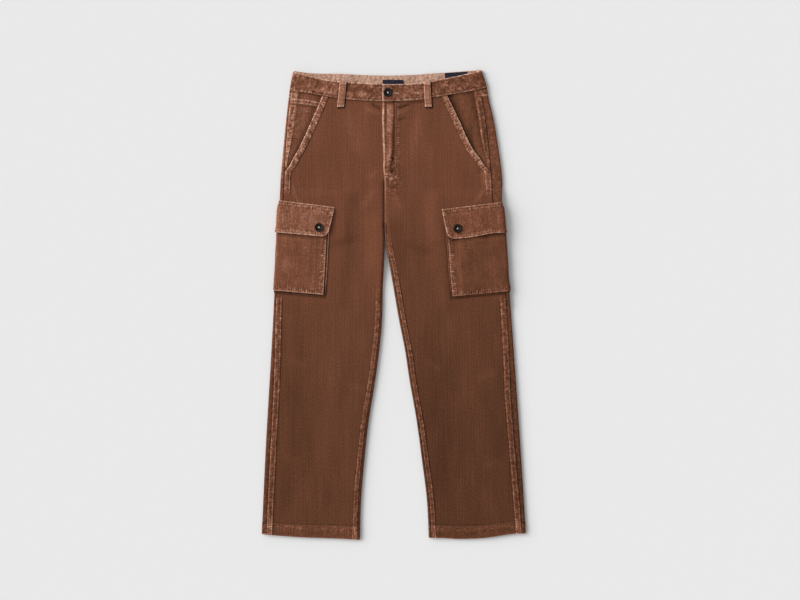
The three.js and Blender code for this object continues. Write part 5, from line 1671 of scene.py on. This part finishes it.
def tacks():
    rows = []
    for leg, top_x, bottom_x in FRONT_LOOPS:
        low, high = front_seam(top_x) - LOOP_TAIL, front_top(top_x)
        for at, y in ((bottom_x, low + 6.4), (top_x - 0.5, high - 7.2)):
            z = float(top_z(leg, at, y)) + GAP + 2.3 + (BAND_STEP if y > low + 10 else 0)
            rows.append(tack(at - 6.8, y, at + 6.8, y, z, 1.6))
    rows.append(tack(-21.5, 284, -6.5, 286.5, float(top_z(LEFT, -12, 285)) + 0.9, 2.0))
    for leg, at, y in ((RIGHT, -236.5, 303), (LEFT, 204, 308)):
        rows.append(tack(at, y + 7, at + leg.inward * 2.5, y - 7, float(top_z(leg, at, y)) + 1.0, 2.2))
    for leg in (RIGHT, LEFT):
        s = along(leg.cargo["flap_front"]) - 3
        p = skin(leg, s, leg.cargo["flap_top"] - leg.cargo["flap_drop"] * s - 1, 2.6)
        rows.append(tack(p[0], p[1], p[0] + 0.5, p[1] - 9, float(p[2]) + 0.2, 2.0))
    return rows


seams = [row for leg in (RIGHT, LEFT) for row in leg_rows(leg) + cargo_rows(leg)]
stitches = sew("seam_stitches", seams + centre_rows() + band_rows() + loop_rows(), THREAD)
bar_tacks = sew("bar_tacks", tacks(), THREAD, pitch=0.45, length=0.5, thickness=0.3)
print("stitches:", len(stitches.data.polygons), "tacks:", len(bar_tacks.data.polygons))


# %% Buttonholes
def buttonhole(x, y, z, angle, length, width):
    """Two close rows of thread round a slit, with a bar at each end."""
    c, s = math.cos(angle), math.sin(angle)
    rows = []
    for side in (-1, 1):
        t = np.linspace(-0.5, 0.5, 30) * length
        rows.append(np.column_stack([x + t * c - side * width * s, y + t * s + side * width * c, np.full(30, z)]))
    for end in (-0.5, 0.5):
        t = np.linspace(-1, 1, 6) * width
        rows.append(np.column_stack([x + end * length * c - t * s, y + end * length * s + t * c, np.full(6, z)]))
    return rows


HOLES = [(0.8, 476.0, 10.2, -0.12, 21, 1.3), (-171.5, 180.0, 18.2, 2.2, 14, 0.9), (146.5, 177.5, 18.2, 0.95, 14, 0.9)]
holes = sew("buttonhole_stitches", [row for hole in HOLES for row in buttonhole(*hole)], THREAD_TAN,
            pitch=0.5, length=0.4, thickness=0.5)

# %% [markdown]
# ## Handing the pieces to the frame
# Each cloth stands for its plain solid and rides on the garment's one body.

# %% Frame calls
CORDUROY_SLOT, TRIM_SLOT = "corduroy", "worn_corduroy"
pairs = []
for side in ("right", "left"):
    pairs += [
        (fronts[side], f"{side}_front", CORDUROY_SLOT),
        (backs[side], f"{side}_back", CORDUROY_SLOT),
        (yokes[side], f"{side}_yoke", CORDUROY_SLOT),
        (facings[side], f"{side}_pocket_facing", CORDUROY_SLOT),
        (pockets[side], f"{side}_cargo_pocket", CORDUROY_SLOT),
        (gussets[side], f"{side}_cargo_gusset", TRIM_SLOT),
        (flaps[side], f"{side}_cargo_flap", TRIM_SLOT),
        (front_loops[side], f"belt_loop_front_{side}", TRIM_SLOT),
    ]
pairs += [(back_loops[name], f"belt_loop_back_{name}", TRIM_SLOT) for name in back_loops]
pairs += [(labels[name], f"{name}_label", "label_cloth") for name in labels]
pairs += [(buttons[node], node, "button_plastic") for node in buttons]
pairs += [(coin, "coin_pocket", CORDUROY_SLOT), (shield, "fly_shield", CORDUROY_SLOT), (band, "waistband", TRIM_SLOT)]
for piece, node, slot in pairs:
    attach(piece, "root")
    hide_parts(node)
for piece in [stitches, bar_tacks, holes, *threads.values()]:
    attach(piece, "root")


# %% [markdown]
# ## Floor, light and camera
# The garment lies on a plain pale ground under a wide soft light, a little stronger from the left,
# so that shadows are small and fall to the right. The camera looks straight down.

# %% Floor
floor_mesh = bpy.data.meshes.new("floor")
reach = 6.0
floor_mesh.from_pydata([(-reach, -reach, 0), (reach, -reach, 0), (reach, reach, 0), (-reach, reach, 0)], [], [(0, 1, 2, 3)])
floor = bpy.data.objects.new("floor", floor_mesh)
bpy.context.scene.collection.objects.link(floor)
floor.location.z = -0.0003
ground, tree, shader = new_material("painted_ground", 0.95, specular=0.0)
shader.inputs["Base Color"].default_value = (0.8, 0.8, 0.8, 1)
floor_mesh.materials.append(ground)

# %% Light
def studio_world(strength, side, low):
    """Even light, brighter from the left, as beside a wide window, and brighter low down by low."""
    world = bpy.data.worlds.new("studio")
    world.use_nodes = True
    tree = world.node_tree
    direction = add_node(tree, "ShaderNodeTexCoord").outputs["Generated"]
    facing_out = add_node(tree, "ShaderNodeSeparateXYZ", Vector=direction).outputs
    level = maths(tree, "SUBTRACT", strength, maths(tree, "MULTIPLY", facing_out["X"], strength * side))
    sinking = maths(tree, "SUBTRACT", 1 + low / 2, maths(tree, "MULTIPLY", facing_out["Z"], low))
    level = maths(tree, "MULTIPLY", level, sinking)
    tree.nodes["Background"].inputs["Color"].default_value = (1, 1, 1, 1)
    tree.links.new(level, tree.nodes["Background"].inputs["Strength"])
    return world


bpy.context.scene.world = studio_world(0.72, 0.7, 1.0)
lamp = bpy.data.lights.new("window", "SUN")
lamp.energy = 2.7
lamp.angle = math.radians(38)
window = bpy.data.objects.new("window", lamp)
window.rotation_euler = Vector((-1.0, 0.36, 0.6)).to_track_quat("Z", "Y").to_euler()
bpy.context.scene.collection.objects.link(window)

# %% Camera
MM_PER_PIXEL = 2.25
HEIGHT = 4.0
SENSOR = 36.0
camera = bpy.data.cameras.new("camera")
camera.sensor_width = SENSOR
camera.lens = SENSOR * HEIGHT / (800 * MM_PER_PIXEL * MM)
eye = bpy.data.objects.new("camera", camera)
eye.location = ((400 - 393.75) * MM_PER_PIXEL * MM, (304.75 - 300) * MM_PER_PIXEL * MM, HEIGHT)
bpy.context.scene.collection.objects.link(eye)
bpy.context.scene.camera = eye
bpy.context.scene.view_settings.view_transform = "Standard"
